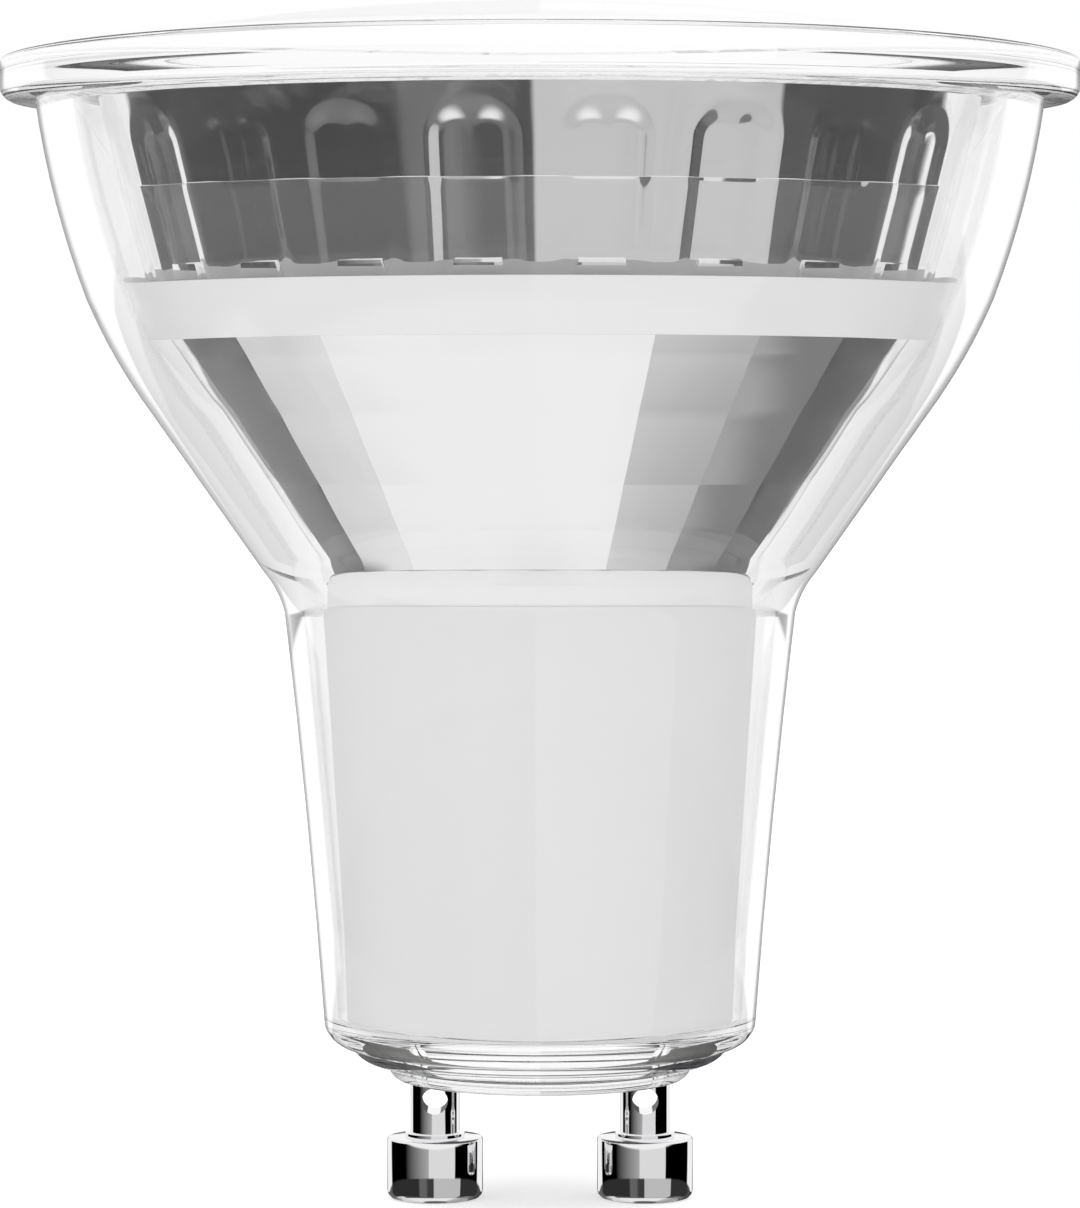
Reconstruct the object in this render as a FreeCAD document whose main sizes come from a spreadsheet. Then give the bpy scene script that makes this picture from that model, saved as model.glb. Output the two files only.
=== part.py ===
import FreeCAD, Part
import math
import os
import re
import Sketcher

# Reflector lamp with two turn-and-lock pins. All sizes are in millimetres.
# The lamp's axis is Z, the lens faces +Z, and Z = 0 is the underside of the glass base.
# The two contact pins stand on the X axis.

X_AXIS = FreeCAD.Vector(1, 0, 0)
Y_AXIS = FreeCAD.Vector(0, 1, 0)
Z_AXIS = FreeCAD.Vector(0, 0, 1)
CENTRE = FreeCAD.Vector(0, 0, 0)

SIZES = {
    # Clear glass body, outside
    "base_radius": 6.6,
    "base_step_height": 0.75,
    "base_step_radius": 7.2,
    "base_roll_height": 1.45,
    "base_roll_radius": 8.9,
    "base_bead_bend": 0.7,
    "base_roll_bend": 1.5,
    "neck_foot_radius": 10.24,
    "neck_foot_height": 2.56,
    "neck_bend": 440,
    "neck_top_radius": 12.1,
    "neck_drop": 2.95,
    "shoulder_bend": 4.7,
    "cone_foot_radius": 13.1,
    "cone_foot_drop": 1.0,
    "cone_top_radius": 18.4,
    "cone_top_rise": 6.55,
    "waist_bend": 26.9,
    "waist_radius": 21.4,
    "waist_rise": 11.85,
    "bowl_bend": 43.6,
    "bowl_top_radius": 23.75,
    # Clear glass body, walls and floor
    "bowl_wall": 1.75,
    "waist_wall": 1.85,
    "cone_wall": 1.95,
    "neck_wall": 0.85,
    "foot_wall": 0.7,
    "floor_depth": 2.7,
    "floor_corner": 0.7,
    "shoulder_lift": 1.4,
    # Front lens
    "rim_radius": 25.4,
    "rim_seat_height": 46.3,
    "rim_depth": 2.3,
    "rim_top_bevel": 0.55,
    "rim_foot_bevel": 0.45,
    "rim_bevel_bend": 0.75,
    "dome_radius": 22.2,
    "dome_rise": 2.3,
    "lens_wall": 1.9,
    "recess_radius": 19.2,
    "recess_depth": 0.8,
    "seal_depth": 0.1,
    "seal_inset": 0.15,
    # Fluted upper reflector
    "flute_count": 22,
    "flute_lower_height": 4.2,
    "flute_upper_height": 4.1,
    "flute_arch_rise": 0.9,
    "flute_foot_radius": 18.6,
    "flute_ledge_radius": 19.8,
    "flute_ledge_step": 0.08,
    "flute_top_radius": 20.8,
    "flute_wall": 1.0,
    "flute_bend": 11.8,
    "flute_depth": 0.3,
    "flute_toe_width": 2.3,
    "flute_toe_height": 0.7,
    "flute_toe_reach": 0.1,
    # White band between the reflectors
    "band_height": 2.5,
    "band_foot_radius": 18.7,
    "band_top_radius": 19.7,
    "band_foot_wall": 2.3,
    "band_top_wall": 2.2,
    # Faceted lower reflector
    "facet_columns": 22,
    "facet_foot_height": 25.15,
    "facet_height": 10.35,
    "facet_foot_radius": 10.2,
    "facet_top_radius": 17.45,
    "facet_row_rise": 2.05,
    "facet_row_pitch": 3.4,
    "facet_row_ratio": 0.847,
    "facet_bend": 50.0,
    "facet_crown": 0.05,
    "facet_wall": 1.0,
    "facet_mouth_wall": 1.25,
    "facet_mouth_depth": 0.8,
    # White collar and sleeve
    "collar_depth": 1.95,
    "collar_radius": 10.2,
    "collar_wall": 1.4,
    "collar_ledge_width": 1.0,
    "collar_ledge_depth": 0.6,
    "sleeve_foot_height": 2.9,
    "sleeve_foot_radius": 9.1,
    "sleeve_top_radius": 10.3,
    "sleeve_wall": 0.8,
    "sleeve_floor_depth": 0.8,
    "sleeve_floor_opening": 7.3,
    "adhesive_width": 0.8,
    # Board guides in the sleeve
    "guide_width": 0.8,
    "guide_rise": 7.0,
    "guide_start": 7.1,
    # Light source
    "spreader_depth": 1.2,
    "led_board_depth": 1.0,
    "led_count": 6,
    "led_ring_radius": 4.2,
    "led_length": 3.0,
    "led_width": 2.6,
    "led_depth": 0.7,
    "led_window_radius": 1.05,
    "led_window_depth": 0.12,
    "screw_place": 7.0,
    "screw_shank_radius": 0.9,
    "screw_head_radius": 1.5,
    "screw_head_depth": 0.95,
    "screw_length": 1.9,
    "screw_slot_width": 0.35,
    "screw_slot_depth": 0.45,
    # Driver
    "board_back": 2.6,
    "board_depth": 1.0,
    "board_width": 15.4,
    "board_lift": 0.1,
    "board_length": 17.0,
    "board_headroom": 2.4,
    "can_radius": 3.15,
    "can_span": 11.0,
    "can_rise": 8.4,
    "can_place": 3.7,
    "can_groove_depth": 0.3,
    "film_width": 6.2,
    "film_depth": 4.0,
    "film_span": 7.0,
    "film_rise": 13.0,
    "film_place": 3.9,
    "choke_radius": 3.0,
    "choke_span": 6.0,
    "choke_flange": 1.0,
    "choke_waist_radius": 1.5,
    "choke_rise": 6.0,
    "choke_place": 3.9,
    "winding_radius": 2.6,
    "bridge_span": 4.7,
    "bridge_depth": 2.3,
    "bridge_width": 4.0,
    "bridge_rise": 6.0,
    "bridge_place": 3.0,
    "chip_span": 4.9,
    "chip_width": 3.9,
    "chip_depth": 1.5,
    "chip_rise": 12.5,
    "chip_place": 2.6,
    "chip_leg_width": 0.4,
    "chip_leg_pitch": 1.27,
    "chip_leg_reach": 1.0,
    "fuse_radius": 1.1,
    "fuse_length": 5.4,
    "fuse_rise": 7.0,
    "fuse_place": 3.2,
    "fuse_cap_length": 1.0,
    # Contact pins
    "pin_pitch": 10.0,
    "stem_radius": 1.17,
    "stem_length": 2.8,
    "head_radius": 2.28,
    "head_depth": 2.95,
    "head_foot_round": 0.4,
    "head_top_round": 0.12,
    "stem_seat_radius": 1.42,
    "stem_seat_depth": 0.18,
    "cross_hole_radius": 0.62,
    "cross_hole_drop": 1.0,
    "pin_bore_radius": 0.6,
    "pin_bore_floor": 0.5,
    "rivet_radius": 1.5,
    "rivet_depth": 0.4,
    "pin_tail_radius": 0.95,
    "pin_tail_length": 1.0,
    "washer_radius": 2.0,
    "washer_depth": 0.4,
    # Leads
    "wire_radius": 0.35,
    "wire_bend": 0.8,
    "lead_rise": 0.65,
    "led_lead_place": 2.5,
    "lead_hole_radius": 0.6,
    # Clearances
    "slip_gap": 0.1,
    "glass_gap": 0.05,
}

# How much the reflector stack and the driver stretch when the lens or the collar is moved
STACK = ("((rim_seat_height - facet_foot_height)"
         " / (facet_height + band_height + flute_lower_height + flute_upper_height))")
DRIVER = ("((facet_foot_height - collar_depth - sleeve_foot_height)"
          " / (sleeve_floor_depth + board_lift + board_length + board_headroom))")

# Heights and lengths that follow from the sizes, each with a name of its own in the sheet
FOLLOWING = {
    "neck_top_height": "facet_foot_height - neck_drop",
    "cone_foot_height": "facet_foot_height - cone_foot_drop",
    "cone_top_height": "facet_foot_height + cone_top_rise * " + STACK,
    "waist_height": "facet_foot_height + waist_rise * " + STACK,
    "band_foot_height": "facet_foot_height + facet_height * " + STACK,
    "flute_foot_height": "facet_foot_height + (facet_height + band_height) * " + STACK,
    "flute_ledge_height": "rim_seat_height - flute_upper_height * " + STACK,
    "flute_arch_height": "rim_seat_height - (flute_upper_height - flute_arch_rise) * " + STACK,
    "facet_row_height": "facet_foot_height + facet_row_rise * " + STACK,
    "facet_row_step": "facet_row_pitch * " + STACK,
    "guide_height": "guide_rise * " + DRIVER,
    "board_height": "board_length * " + DRIVER,
    "can_height": "can_rise * " + DRIVER,
    "can_length": "can_span * " + DRIVER,
    "film_height": "film_rise * " + DRIVER,
    "film_length": "film_span * " + DRIVER,
    "choke_height": "choke_rise * " + DRIVER,
    "choke_length": "choke_span * " + DRIVER,
    "bridge_height": "bridge_rise * " + DRIVER,
    "bridge_length": "bridge_span * " + DRIVER,
    "chip_height": "chip_rise * " + DRIVER,
    "chip_length": "chip_span * " + DRIVER,
    "fuse_height": "fuse_rise * " + DRIVER,
}

doc = FreeCAD.newDocument("reflector_lamp")
sheet = doc.addObject("Spreadsheet::Sheet", "Sizes")
for row, (size_name, value) in enumerate(SIZES.items(), start=1):
    cell = "A%d" % row
    sheet.set(cell, str(value))
    sheet.setAlias(cell, size_name)
for row, (size_name, formula) in enumerate(FOLLOWING.items(), start=1):
    cell = "B%d" % row
    sheet.set(cell, "=" + formula)
    sheet.setAlias(cell, size_name)
doc.recompute()

pieces = []


def cells(formula):
    """A formula in size names, written with the sheet's name before each of them."""
    return re.sub(r"[a-z]+(_[a-z]+)+", lambda word: "Sizes." + word.group(0), formula)


def size(formula):
    """The value that a formula of size names has now."""
    return float(sheet.evalExpression(cells(formula)))


def origin_part(body, role):
    """An origin plane or axis of a body, found by its role."""
    return [part for part in body.Origin.OriginFeatures if part.Role == role][0]


def new_body(name):
    """A body for one piece of the lamp."""
    body = doc.addObject("PartDesign::Body", name)
    body.Label = name
    pieces.append(body)
    return body


def new_sketch(body, name, plane, lift=None):
    """A sketch on an origin plane of its body, raised along that plane's normal."""
    sketch = body.newObject("Sketcher::SketchObject", name)
    sketch.AttachmentSupport = [(origin_part(body, plane), "")]
    sketch.MapMode = "FlatFace"
    if lift:
        sketch.setExpression("AttachmentOffset.Base.z", cells(lift))
    return sketch


def pin_point(sketch, geometry, end, across, up):
    """Ties one end of a line or arc, or a circle's centre, to formulas of the sheet."""
    for kind, formula in (("DistanceX", across), ("DistanceY", up)):
        index = sketch.addConstraint(Sketcher.Constraint(kind, -1, 1, geometry, end, size(formula)))
        sketch.setExpression("Constraints[%d]" % index, cells(formula))


def arc_between(start, end, bend, side):
    """Arc of radius bend from start to end. Side 1 turns left on the way, side -1 turns right."""
    chord = end - start
    left = FreeCAD.Vector(-chord.y, chord.x, 0).normalize()
    reach = math.sqrt(max(bend ** 2 - (chord.Length / 2) ** 2, 0))
    centre = (start + end) * 0.5 + left * (side * reach)
    first, last = (start, end) if side > 0 else (end, start)
    angles = [math.atan2(point.y - centre.y, point.x - centre.x) for point in (first, last)]
    if angles[1] < angles[0]:
        angles[1] += 2 * math.pi
    return Part.ArcOfCircle(Part.Circle(centre, Z_AXIS, bend), angles[0], angles[1])


def outline(sketch, corners):
    """Closed outline. A corner is (across, up), or (across, up, bend, side) where the way on is an arc."""
    points = [FreeCAD.Vector(size(corner[0]), size(corner[1]), 0) for corner in corners]
    ends = []
    for index, corner in enumerate(corners):
        start = points[index]
        end = points[(index + 1) % len(points)]
        if len(corner) == 2:
            geometry = sketch.addGeometry(Part.LineSegment(start, end), False)
            ends.append((geometry, 1, 2))
            continue
        bend, side = corner[2], corner[3]
        geometry = sketch.addGeometry(arc_between(start, end, size(bend), side), False)
        ends.append((geometry, 1, 2) if side > 0 else (geometry, 2, 1))
        index_of_bend = sketch.addConstraint(Sketcher.Constraint("Radius", geometry, size(bend)))
        sketch.setExpression("Constraints[%d]" % index_of_bend, cells(bend))
    for index, corner in enumerate(corners):
        geometry, first, last = ends[index]
        following, following_first, _ = ends[(index + 1) % len(ends)]
        sketch.addConstraint(Sketcher.Constraint("Coincident", geometry, last, following, following_first))
        pin_point(sketch, geometry, first, corner[0], corner[1])


def circle(sketch, across, up, radius):
    """Circle at a place given by formulas."""
    place = FreeCAD.Vector(size(across), size(up), 0)
    geometry = sketch.addGeometry(Part.Circle(place, Z_AXIS, size(radius)), False)
    pin_point(sketch, geometry, 3, across, up)
    index = sketch.addConstraint(Sketcher.Constraint("Radius", geometry, size(radius)))
    sketch.setExpression("Constraints[%d]" % index, cells(radius))


def box_corners(left, right, low, high):
    """The four corners of a rectangle, counter-clockwise."""
    return [(left, low), (right, low), (right, high), (left, high)]


def turned(body, name, corners, cut=False):
    """Ring or disc turned round Z from an outline in the XZ plane."""
    sketch = new_sketch(body, name + "_outline", "XZ_Plane")
    outline(sketch, corners)
    feature = body.newObject("PartDesign::Groove" if cut else "PartDesign::Revolution", name)
    feature.Profile = sketch
    feature.ReferenceAxis = (sketch, ["V_Axis"])
    feature.Angle = 360
    body.Tip = feature
    doc.recompute()
    return feature


def raised(body, name, sketch, length):
    """Pad of a sketch along the normal of its plane."""
    feature = body.newObject("PartDesign::Pad", name)
    feature.Profile = sketch
    feature.setExpression("Length", cells(length))
    body.Tip = feature
    doc.recompute()
    return feature


def pocketed(body, name, sketch, length, upward=False):
    """Pocket of a sketch. It has to take material away."""
    before = body.Shape.Volume
    feature = body.newObject("PartDesign::Pocket", name)
    feature.Profile = sketch
    feature.Reversed = upward
    feature.setExpression("Length", cells(length))
    body.Tip = feature
    doc.recompute()
    if not feature.Shape.Volume < before:
        raise RuntimeError(name + " takes nothing away")
    return feature


def edges_at(shape, heights, reaches=None):
    """Names of the circular edges that lie level at one of the heights."""
    names = []
    for number, edge in enumerate(shape.Edges, start=1):
        box = edge.BoundBox
        if box.ZLength > 1e-4 or not hasattr(edge.Curve, "Radius"):
            continue
        level = any(abs(box.ZMin - height) < 1e-4 for height in heights)
        near = reaches is None or any(abs(edge.Curve.Radius - reach) < 1e-4 for reach in reaches)
        if level and near:
            names.append("Edge%d" % number)
    return names


def rounded(body, name, heights, reaches, radius):
    """Fillet of the level circular edges at the given heights and radii."""
    base = body.Tip
    found = edges_at(base.Shape, [size(height) for height in heights], [size(reach) for reach in reaches])
    fillet = body.newObject("PartDesign::Fillet", name)
    fillet.Base = (base, found)
    fillet.setExpression("Radius", cells(radius))
    body.Tip = fillet
    doc.recompute()
    return fillet


def shaped(name, shape):
    """A piece whose shape is worked out directly."""
    piece = doc.addObject("Part::Feature", name)
    piece.Label = name
    piece.Shape = shape
    pieces.append(piece)
    return piece


# Heights that follow from the stack of pieces
GLASS_TOP = "(rim_seat_height - seal_depth)"
RIM_TOP = "(rim_seat_height + rim_depth)"
COLLAR_TOP = "facet_foot_height"
COLLAR_FOOT = "(facet_foot_height - collar_depth)"
LEDGE_TOP = "(facet_foot_height - collar_depth + collar_ledge_depth)"
SPREADER_TOP = "(facet_foot_height - collar_depth + collar_ledge_depth + spreader_depth)"
LED_BOARD_TOP = SPREADER_TOP[:-1] + " + led_board_depth)"
SPREADER_RADIUS = "(collar_radius - collar_wall - slip_gap)"
SLEEVE_FLOOR_TOP = "(sleeve_foot_height + sleeve_floor_depth)"
BOARD_FOOT = "(sleeve_foot_height + sleeve_floor_depth + board_lift)"
BOARD_TOP = "(sleeve_foot_height + sleeve_floor_depth + board_lift + board_height)"
BOARD_FRONT = "(board_back - board_depth)"
WASHER_TOP = "(floor_depth + washer_depth)"
RIVET_TOP = "(floor_depth + washer_depth + rivet_depth)"
TAIL_TOP = "(floor_depth + washer_depth + rivet_depth + pin_tail_length)"
HEAD_TOP = "(0 - stem_length)"
HEAD_FOOT = "(0 - stem_length - head_depth)"
SCREW_FOOT = LED_BOARD_TOP[:-1] + " - screw_length)"


def glass_body():
    """Blown and pressed glass: stepped base, long neck, cone and bowl, with a wall that thickens upwards."""
    cone_lean = "((cone_top_radius - cone_foot_radius) / (cone_top_height - cone_foot_height))"
    body = new_body("glass_body")
    turned(body, "glass_wall", [
        ("0", "0"),
        ("base_radius", "0", "base_bead_bend", 1),
        ("base_step_radius", "base_step_height"),
        ("base_step_radius + slip_gap", "base_step_height + slip_gap", "base_roll_bend", 1),
        ("base_roll_radius", "base_roll_height"),
        ("base_roll_radius + slip_gap", "base_roll_height + slip_gap", "base_roll_bend", 1),
        ("neck_foot_radius", "neck_foot_height", "neck_bend", -1),
        ("neck_top_radius", "neck_top_height", "shoulder_bend", -1),
        ("cone_foot_radius", "cone_foot_height"),
        ("cone_top_radius", "cone_top_height", "waist_bend", 1),
        ("waist_radius", "waist_height", "bowl_bend", 1),
        ("bowl_top_radius", GLASS_TOP),
        ("bowl_top_radius - bowl_wall", GLASS_TOP, "bowl_bend - bowl_wall", -1),
        ("waist_radius - waist_wall", "waist_height", "waist_bend - waist_wall", -1),
        ("cone_top_radius - cone_wall", "cone_top_height"),
        ("cone_foot_radius - cone_wall + shoulder_lift * " + cone_lean,
         "cone_foot_height + shoulder_lift", "shoulder_bend + 0.3", 1),
        ("neck_top_radius - neck_wall", "neck_top_height + shoulder_lift * 0.65"),
        ("neck_foot_radius - foot_wall + 0.04", "floor_depth + floor_corner", "floor_corner", -1),
        ("neck_foot_radius - foot_wall + 0.04 - floor_corner", "floor_depth"),
        ("0", "floor_depth"),
    ])
    holes = new_sketch(body, "pin_holes_outline", "XY_Plane")
    for side in ("", "0 - "):
        circle(holes, side + "pin_pitch / 2", "0", "stem_radius + glass_gap")
    pocketed(body, "pin_holes", holes, "floor_depth + 1", upward=True)


def front_lens():
    """Moulded lens: a shallow dome with an even wall, inside a thick rim with bevelled edges."""
    dome_bend = "((dome_radius ^ 2 + dome_rise ^ 2) / (2 * dome_rise))"
    inner_rise = "(rim_depth + dome_rise - lens_wall - recess_depth)"
    inner_bend = "((recess_radius ^ 2 + %s ^ 2) / (2 * %s))" % (inner_rise, inner_rise)
    body = new_body("front_lens")
    turned(body, "lens_wall_turn", [
        ("recess_radius", "rim_seat_height"),
        ("rim_radius - rim_foot_bevel", "rim_seat_height", "rim_bevel_bend", 1),
        ("rim_radius", "rim_seat_height + rim_foot_bevel"),
        ("rim_radius", RIM_TOP + " - rim_top_bevel", "rim_bevel_bend", 1),
        ("rim_radius - rim_top_bevel", RIM_TOP),
        ("dome_radius", RIM_TOP, dome_bend, 1),
        ("0", RIM_TOP + " + dome_rise"),
        ("0", RIM_TOP + " + dome_rise - lens_wall", inner_bend, -1),
        ("recess_radius", "rim_seat_height + recess_depth"),
    ])


def lens_seal():
    """Thin ring of clear adhesive between the glass and the lens."""
    body = new_body("lens_seal")
    turned(body, "seal_turn", box_corners(
        "bowl_top_radius - bowl_wall + seal_inset", "bowl_top_radius - seal_inset",
        GLASS_TOP, "rim_seat_height"))


def wall_cell(corners, turn_share):
    """One share of a ring: an outline in the XZ plane swept through a part of the circle, centred on +X."""
    loop = [FreeCAD.Vector(across, 0, up) for across, up in corners]
    face = Part.Face(Part.makePolygon(loop + loop[:1]))
    share = 360 / turn_share
    face.rotate(CENTRE, Z_AXIS, -share / 2)
    return face.revolve(CENTRE, Z_AXIS, share)


def ring_of_cells(cell, count):
    """One solid from cells that stand side by side round Z."""
    ring = []
    for index in range(count):
        copy = cell.copy()
        copy.rotate(CENTRE, Z_AXIS, 360 / count * index)
        ring.append(copy)
    return ring[0].multiFuse(ring[1:]).removeSplitter().Solids[0]


def flute_scoop(foot, top, bend, depth):
    """Round bar outside a leaning wall, as deep in it as a flute. It reaches far below foot, and ends at top."""
    along = (top - foot).normalize()
    outward = FreeCAD.Vector(along.z, 0, -along.x)
    start = foot - along * bend + outward * (bend - depth)
    return Part.makeCylinder(bend, (top - foot).Length + bend, start, along)


def fluted_reflector():
    """Bright ring of arched flutes, scooped out of a wall with a ledge. A toe stands in each flute's foot."""
    count = int(size("flute_count"))
    foot, ledge, top = size("flute_foot_height"), size("flute_ledge_height"), size("rim_seat_height")
    arch = size("flute_arch_height")
    foot_reach, ledge_reach = size("flute_foot_radius"), size("flute_ledge_radius")
    top_reach, wall = size("flute_top_radius"), size("flute_wall")
    upper_reach = ledge_reach - size("flute_ledge_step")
    bend, depth = size("flute_bend"), size("flute_depth")
    lower_wall = wall_cell([
        (foot_reach, foot), (ledge_reach, ledge), (ledge_reach - wall, ledge), (foot_reach - wall, foot)], count)
    upper_wall = wall_cell([
        (upper_reach, ledge), (top_reach, top), (top_reach - wall, top), (ledge_reach - wall, ledge)], count)
    foot_point = FreeCAD.Vector(foot_reach, 0, foot)
    ledge_point = FreeCAD.Vector(ledge_reach, 0, ledge)
    lower_scoop = flute_scoop(foot_point, ledge_point + (ledge_point - foot_point), bend, depth)
    start = FreeCAD.Vector(upper_reach, 0, ledge)
    arch_point = start + FreeCAD.Vector(top_reach - upper_reach, 0, top - ledge) * ((arch - ledge) / (top - ledge))
    along = (arch_point - start).normalize()
    ball = Part.makeSphere(bend, arch_point + FreeCAD.Vector(along.z, 0, -along.x) * (bend - depth))
    upper_scoop = flute_scoop(start, arch_point, bend, depth)
    lower = lower_wall.cut(lower_scoop)
    upper = upper_wall.cut(upper_scoop).cut(ball)
    cell = lower.fuse(upper).fuse(flute_toe(foot, foot_reach))
    shaped("fluted_reflector", ring_of_cells(cell, count))


def flute_toe(foot, foot_reach):
    """Short tapered foot in a flute, where it stands on the white band."""
    width, height, reach = size("flute_toe_width"), size("flute_toe_height"), size("flute_toe_reach")
    root = foot_reach - size("flute_wall") / 2
    tip = foot_reach + reach
    lower = [FreeCAD.Vector(root, -width / 2, foot), FreeCAD.Vector(tip, -width / 2, foot),
             FreeCAD.Vector(tip, width / 2, foot), FreeCAD.Vector(root, width / 2, foot)]
    upper = [FreeCAD.Vector(point.x, point.y * 0.9, foot + height) for point in lower]
    loops = [Part.makePolygon(points + points[:1]) for points in (lower, upper)]
    return Part.makeLoft(loops, True, True)


def carrier_ring():
    """White band that holds the two reflectors apart, just clear of the glass."""
    body = new_body("carrier_ring")
    turned(body, "band_turn", [
        ("band_foot_radius - band_foot_wall", "band_foot_height"),
        ("band_foot_radius", "band_foot_height"),
        ("band_top_radius", "flute_foot_height"),
        ("band_top_radius - band_top_wall", "flute_foot_height"),
    ])


def facet_rows(bend, inset, slope, top):
    """Balls along the cone's wall, one for each row of facets, joined into one scalloped core."""
    foot, foot_reach = size("facet_foot_height"), size("facet_foot_radius")
    step, ratio = size("facet_row_step"), size("facet_row_ratio")
    lean = math.atan(slope)
    height = size("facet_row_height")
    core = None
    while height - step < top:
        reach = foot_reach + (height - foot) * slope
        centre = FreeCAD.Vector(reach - inset * math.cos(lean), 0, height + inset * math.sin(lean))
        ball = Part.makeSphere(bend, centre)
        core = ball if core is None else core.fuse(ball)
        height += step
        step *= ratio
    return core


def facet_reflector():
    """Bright cone of cushion facets in level rows and straight columns, hollow behind, on a flat mouth ring."""
    columns = int(size("facet_columns"))
    foot, top = size("facet_foot_height"), size("band_foot_height")
    foot_reach, top_reach, wall = size("facet_foot_radius"), size("facet_top_radius"), size("facet_wall")
    slope = (top_reach - foot_reach) / (top - foot)
    bend, crown = size("facet_bend"), size("facet_crown")
    mouth, mouth_top = foot_reach - size("facet_mouth_wall"), foot + size("facet_mouth_depth")
    envelope = wall_cell([
        (foot_reach - 2 * wall, foot), (foot_reach + wall, foot), (top_reach + wall, top),
        (top_reach - 2 * wall, top)], columns)
    ring = wall_cell([
        (mouth, foot), (foot_reach - wall / 2, foot),
        (foot_reach - wall / 2 + (mouth_top - foot) * slope, mouth_top), (mouth, mouth_top)], columns)
    swell = facet_rows(bend, bend - crown, slope, top).common(envelope)
    hollow = facet_rows(bend - wall, bend - crown, slope, top)
    cell = swell.cut(hollow).fuse(ring)
    shaped("facet_reflector", ring_of_cells(cell, columns))


def sleeve_collar():
    """White plastic collar on top of the sleeve, with a ledge that carries the light source."""
    body = new_body("sleeve_collar")
    inner = "collar_radius - collar_wall"
    turned(body, "collar_turn", [
        (inner + " - collar_ledge_width", COLLAR_FOOT),
        ("collar_radius", COLLAR_FOOT),
        ("collar_radius", COLLAR_TOP),
        (inner, COLLAR_TOP),
        (inner, LEDGE_TOP),
        (inner + " - collar_ledge_width", LEDGE_TOP),
    ])


def driver_sleeve():
    """White insulating sleeve round the driver, slightly tapered, with guides for its board."""
    body = new_body("driver_sleeve")
    turned(body, "sleeve_turn", [
        ("sleeve_floor_opening", "sleeve_foot_height"),
        ("sleeve_foot_radius", "sleeve_foot_height"),
        ("sleeve_top_radius", COLLAR_FOOT),
        ("sleeve_top_radius - sleeve_wall", COLLAR_FOOT),
        ("sleeve_foot_radius - sleeve_wall", SLEEVE_FLOOR_TOP),
        ("sleeve_floor_opening", SLEEVE_FLOOR_TOP),
    ])
    guides = new_sketch(body, "guides_outline", "XY_Plane", SLEEVE_FLOOR_TOP)
    reach = "(sleeve_foot_radius - sleeve_wall / 2)"
    bands = (("board_back + slip_gap", "board_back + slip_gap + guide_width"),
             (BOARD_FRONT + " - slip_gap - guide_width", BOARD_FRONT + " - slip_gap"))
    for near, far in bands:
        edge = "sqrt(%s ^ 2 - (%s) ^ 2)" % (reach, far)
        outline(guides, box_corners("guide_start", edge, near, far))
        outline(guides, box_corners("0 - " + edge, "0 - guide_start", near, far))
    raised(body, "guides", guides, "guide_height")


def sleeve_adhesive():
    """Ring of white adhesive that fixes the sleeve to the glass floor."""
    body = new_body("sleeve_adhesive")
    turned(body, "adhesive_turn", box_corners(
        "sleeve_foot_radius - sleeve_wall - adhesive_width", "sleeve_foot_radius - sleeve_wall",
        "floor_depth", "sleeve_foot_height"))


def pair_holes(body, name, lift, depth, across, up, radius):
    """Two round holes, mirrored across the YZ plane, cut downwards from a level."""
    sketch = new_sketch(body, name + "_outline", "XY_Plane", lift)
    for side in ("", "0 - "):
        circle(sketch, side + across, up, radius)
    pocketed(body, name, sketch, depth)


def heat_spreader():
    """Aluminium disc under the light source, with tapped holes and a way through for the leads."""
    body = new_body("heat_spreader")
    turned(body, "spreader_turn", box_corners("0", SPREADER_RADIUS, LEDGE_TOP, SPREADER_TOP))
    pair_holes(body, "screw_holes", SPREADER_TOP, "spreader_depth", "screw_place", "0",
               "screw_shank_radius + glass_gap")
    pair_holes(body, "lead_holes", SPREADER_TOP, "spreader_depth", "led_lead_place",
               "board_back - board_depth / 2", "lead_hole_radius")


def led_board():
    """White metal-core board that carries the light sources."""
    body = new_body("led_board")
    turned(body, "board_turn", box_corners("0", SPREADER_RADIUS, SPREADER_TOP, LED_BOARD_TOP))
    pair_holes(body, "screw_holes", LED_BOARD_TOP, "led_board_depth", "screw_place", "0",
               "screw_shank_radius + slip_gap")


def led_chips():
    """Ring of light sources and one in the middle, each with a sunk round window."""
    length, width, depth = size("led_length"), size("led_width"), size("led_depth")
    level = size(LED_BOARD_TOP)
    chip = Part.makeBox(length, width, depth, FreeCAD.Vector(-length / 2, -width / 2, level))
    window_level = level + depth - size("led_window_depth")
    window = Part.makeCylinder(size("led_window_radius"), depth, FreeCAD.Vector(0, 0, window_level))
    chip = chip.cut(window)
    chips = [chip]
    count = int(size("led_count"))
    for index in range(count):
        copy = chip.copy()
        copy.translate(X_AXIS * size("led_ring_radius"))
        copy.rotate(CENTRE, Z_AXIS, 360 / count * (index + 0.5))
        chips.append(copy)
    shaped("led_chips", Part.makeCompound(chips))


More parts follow.
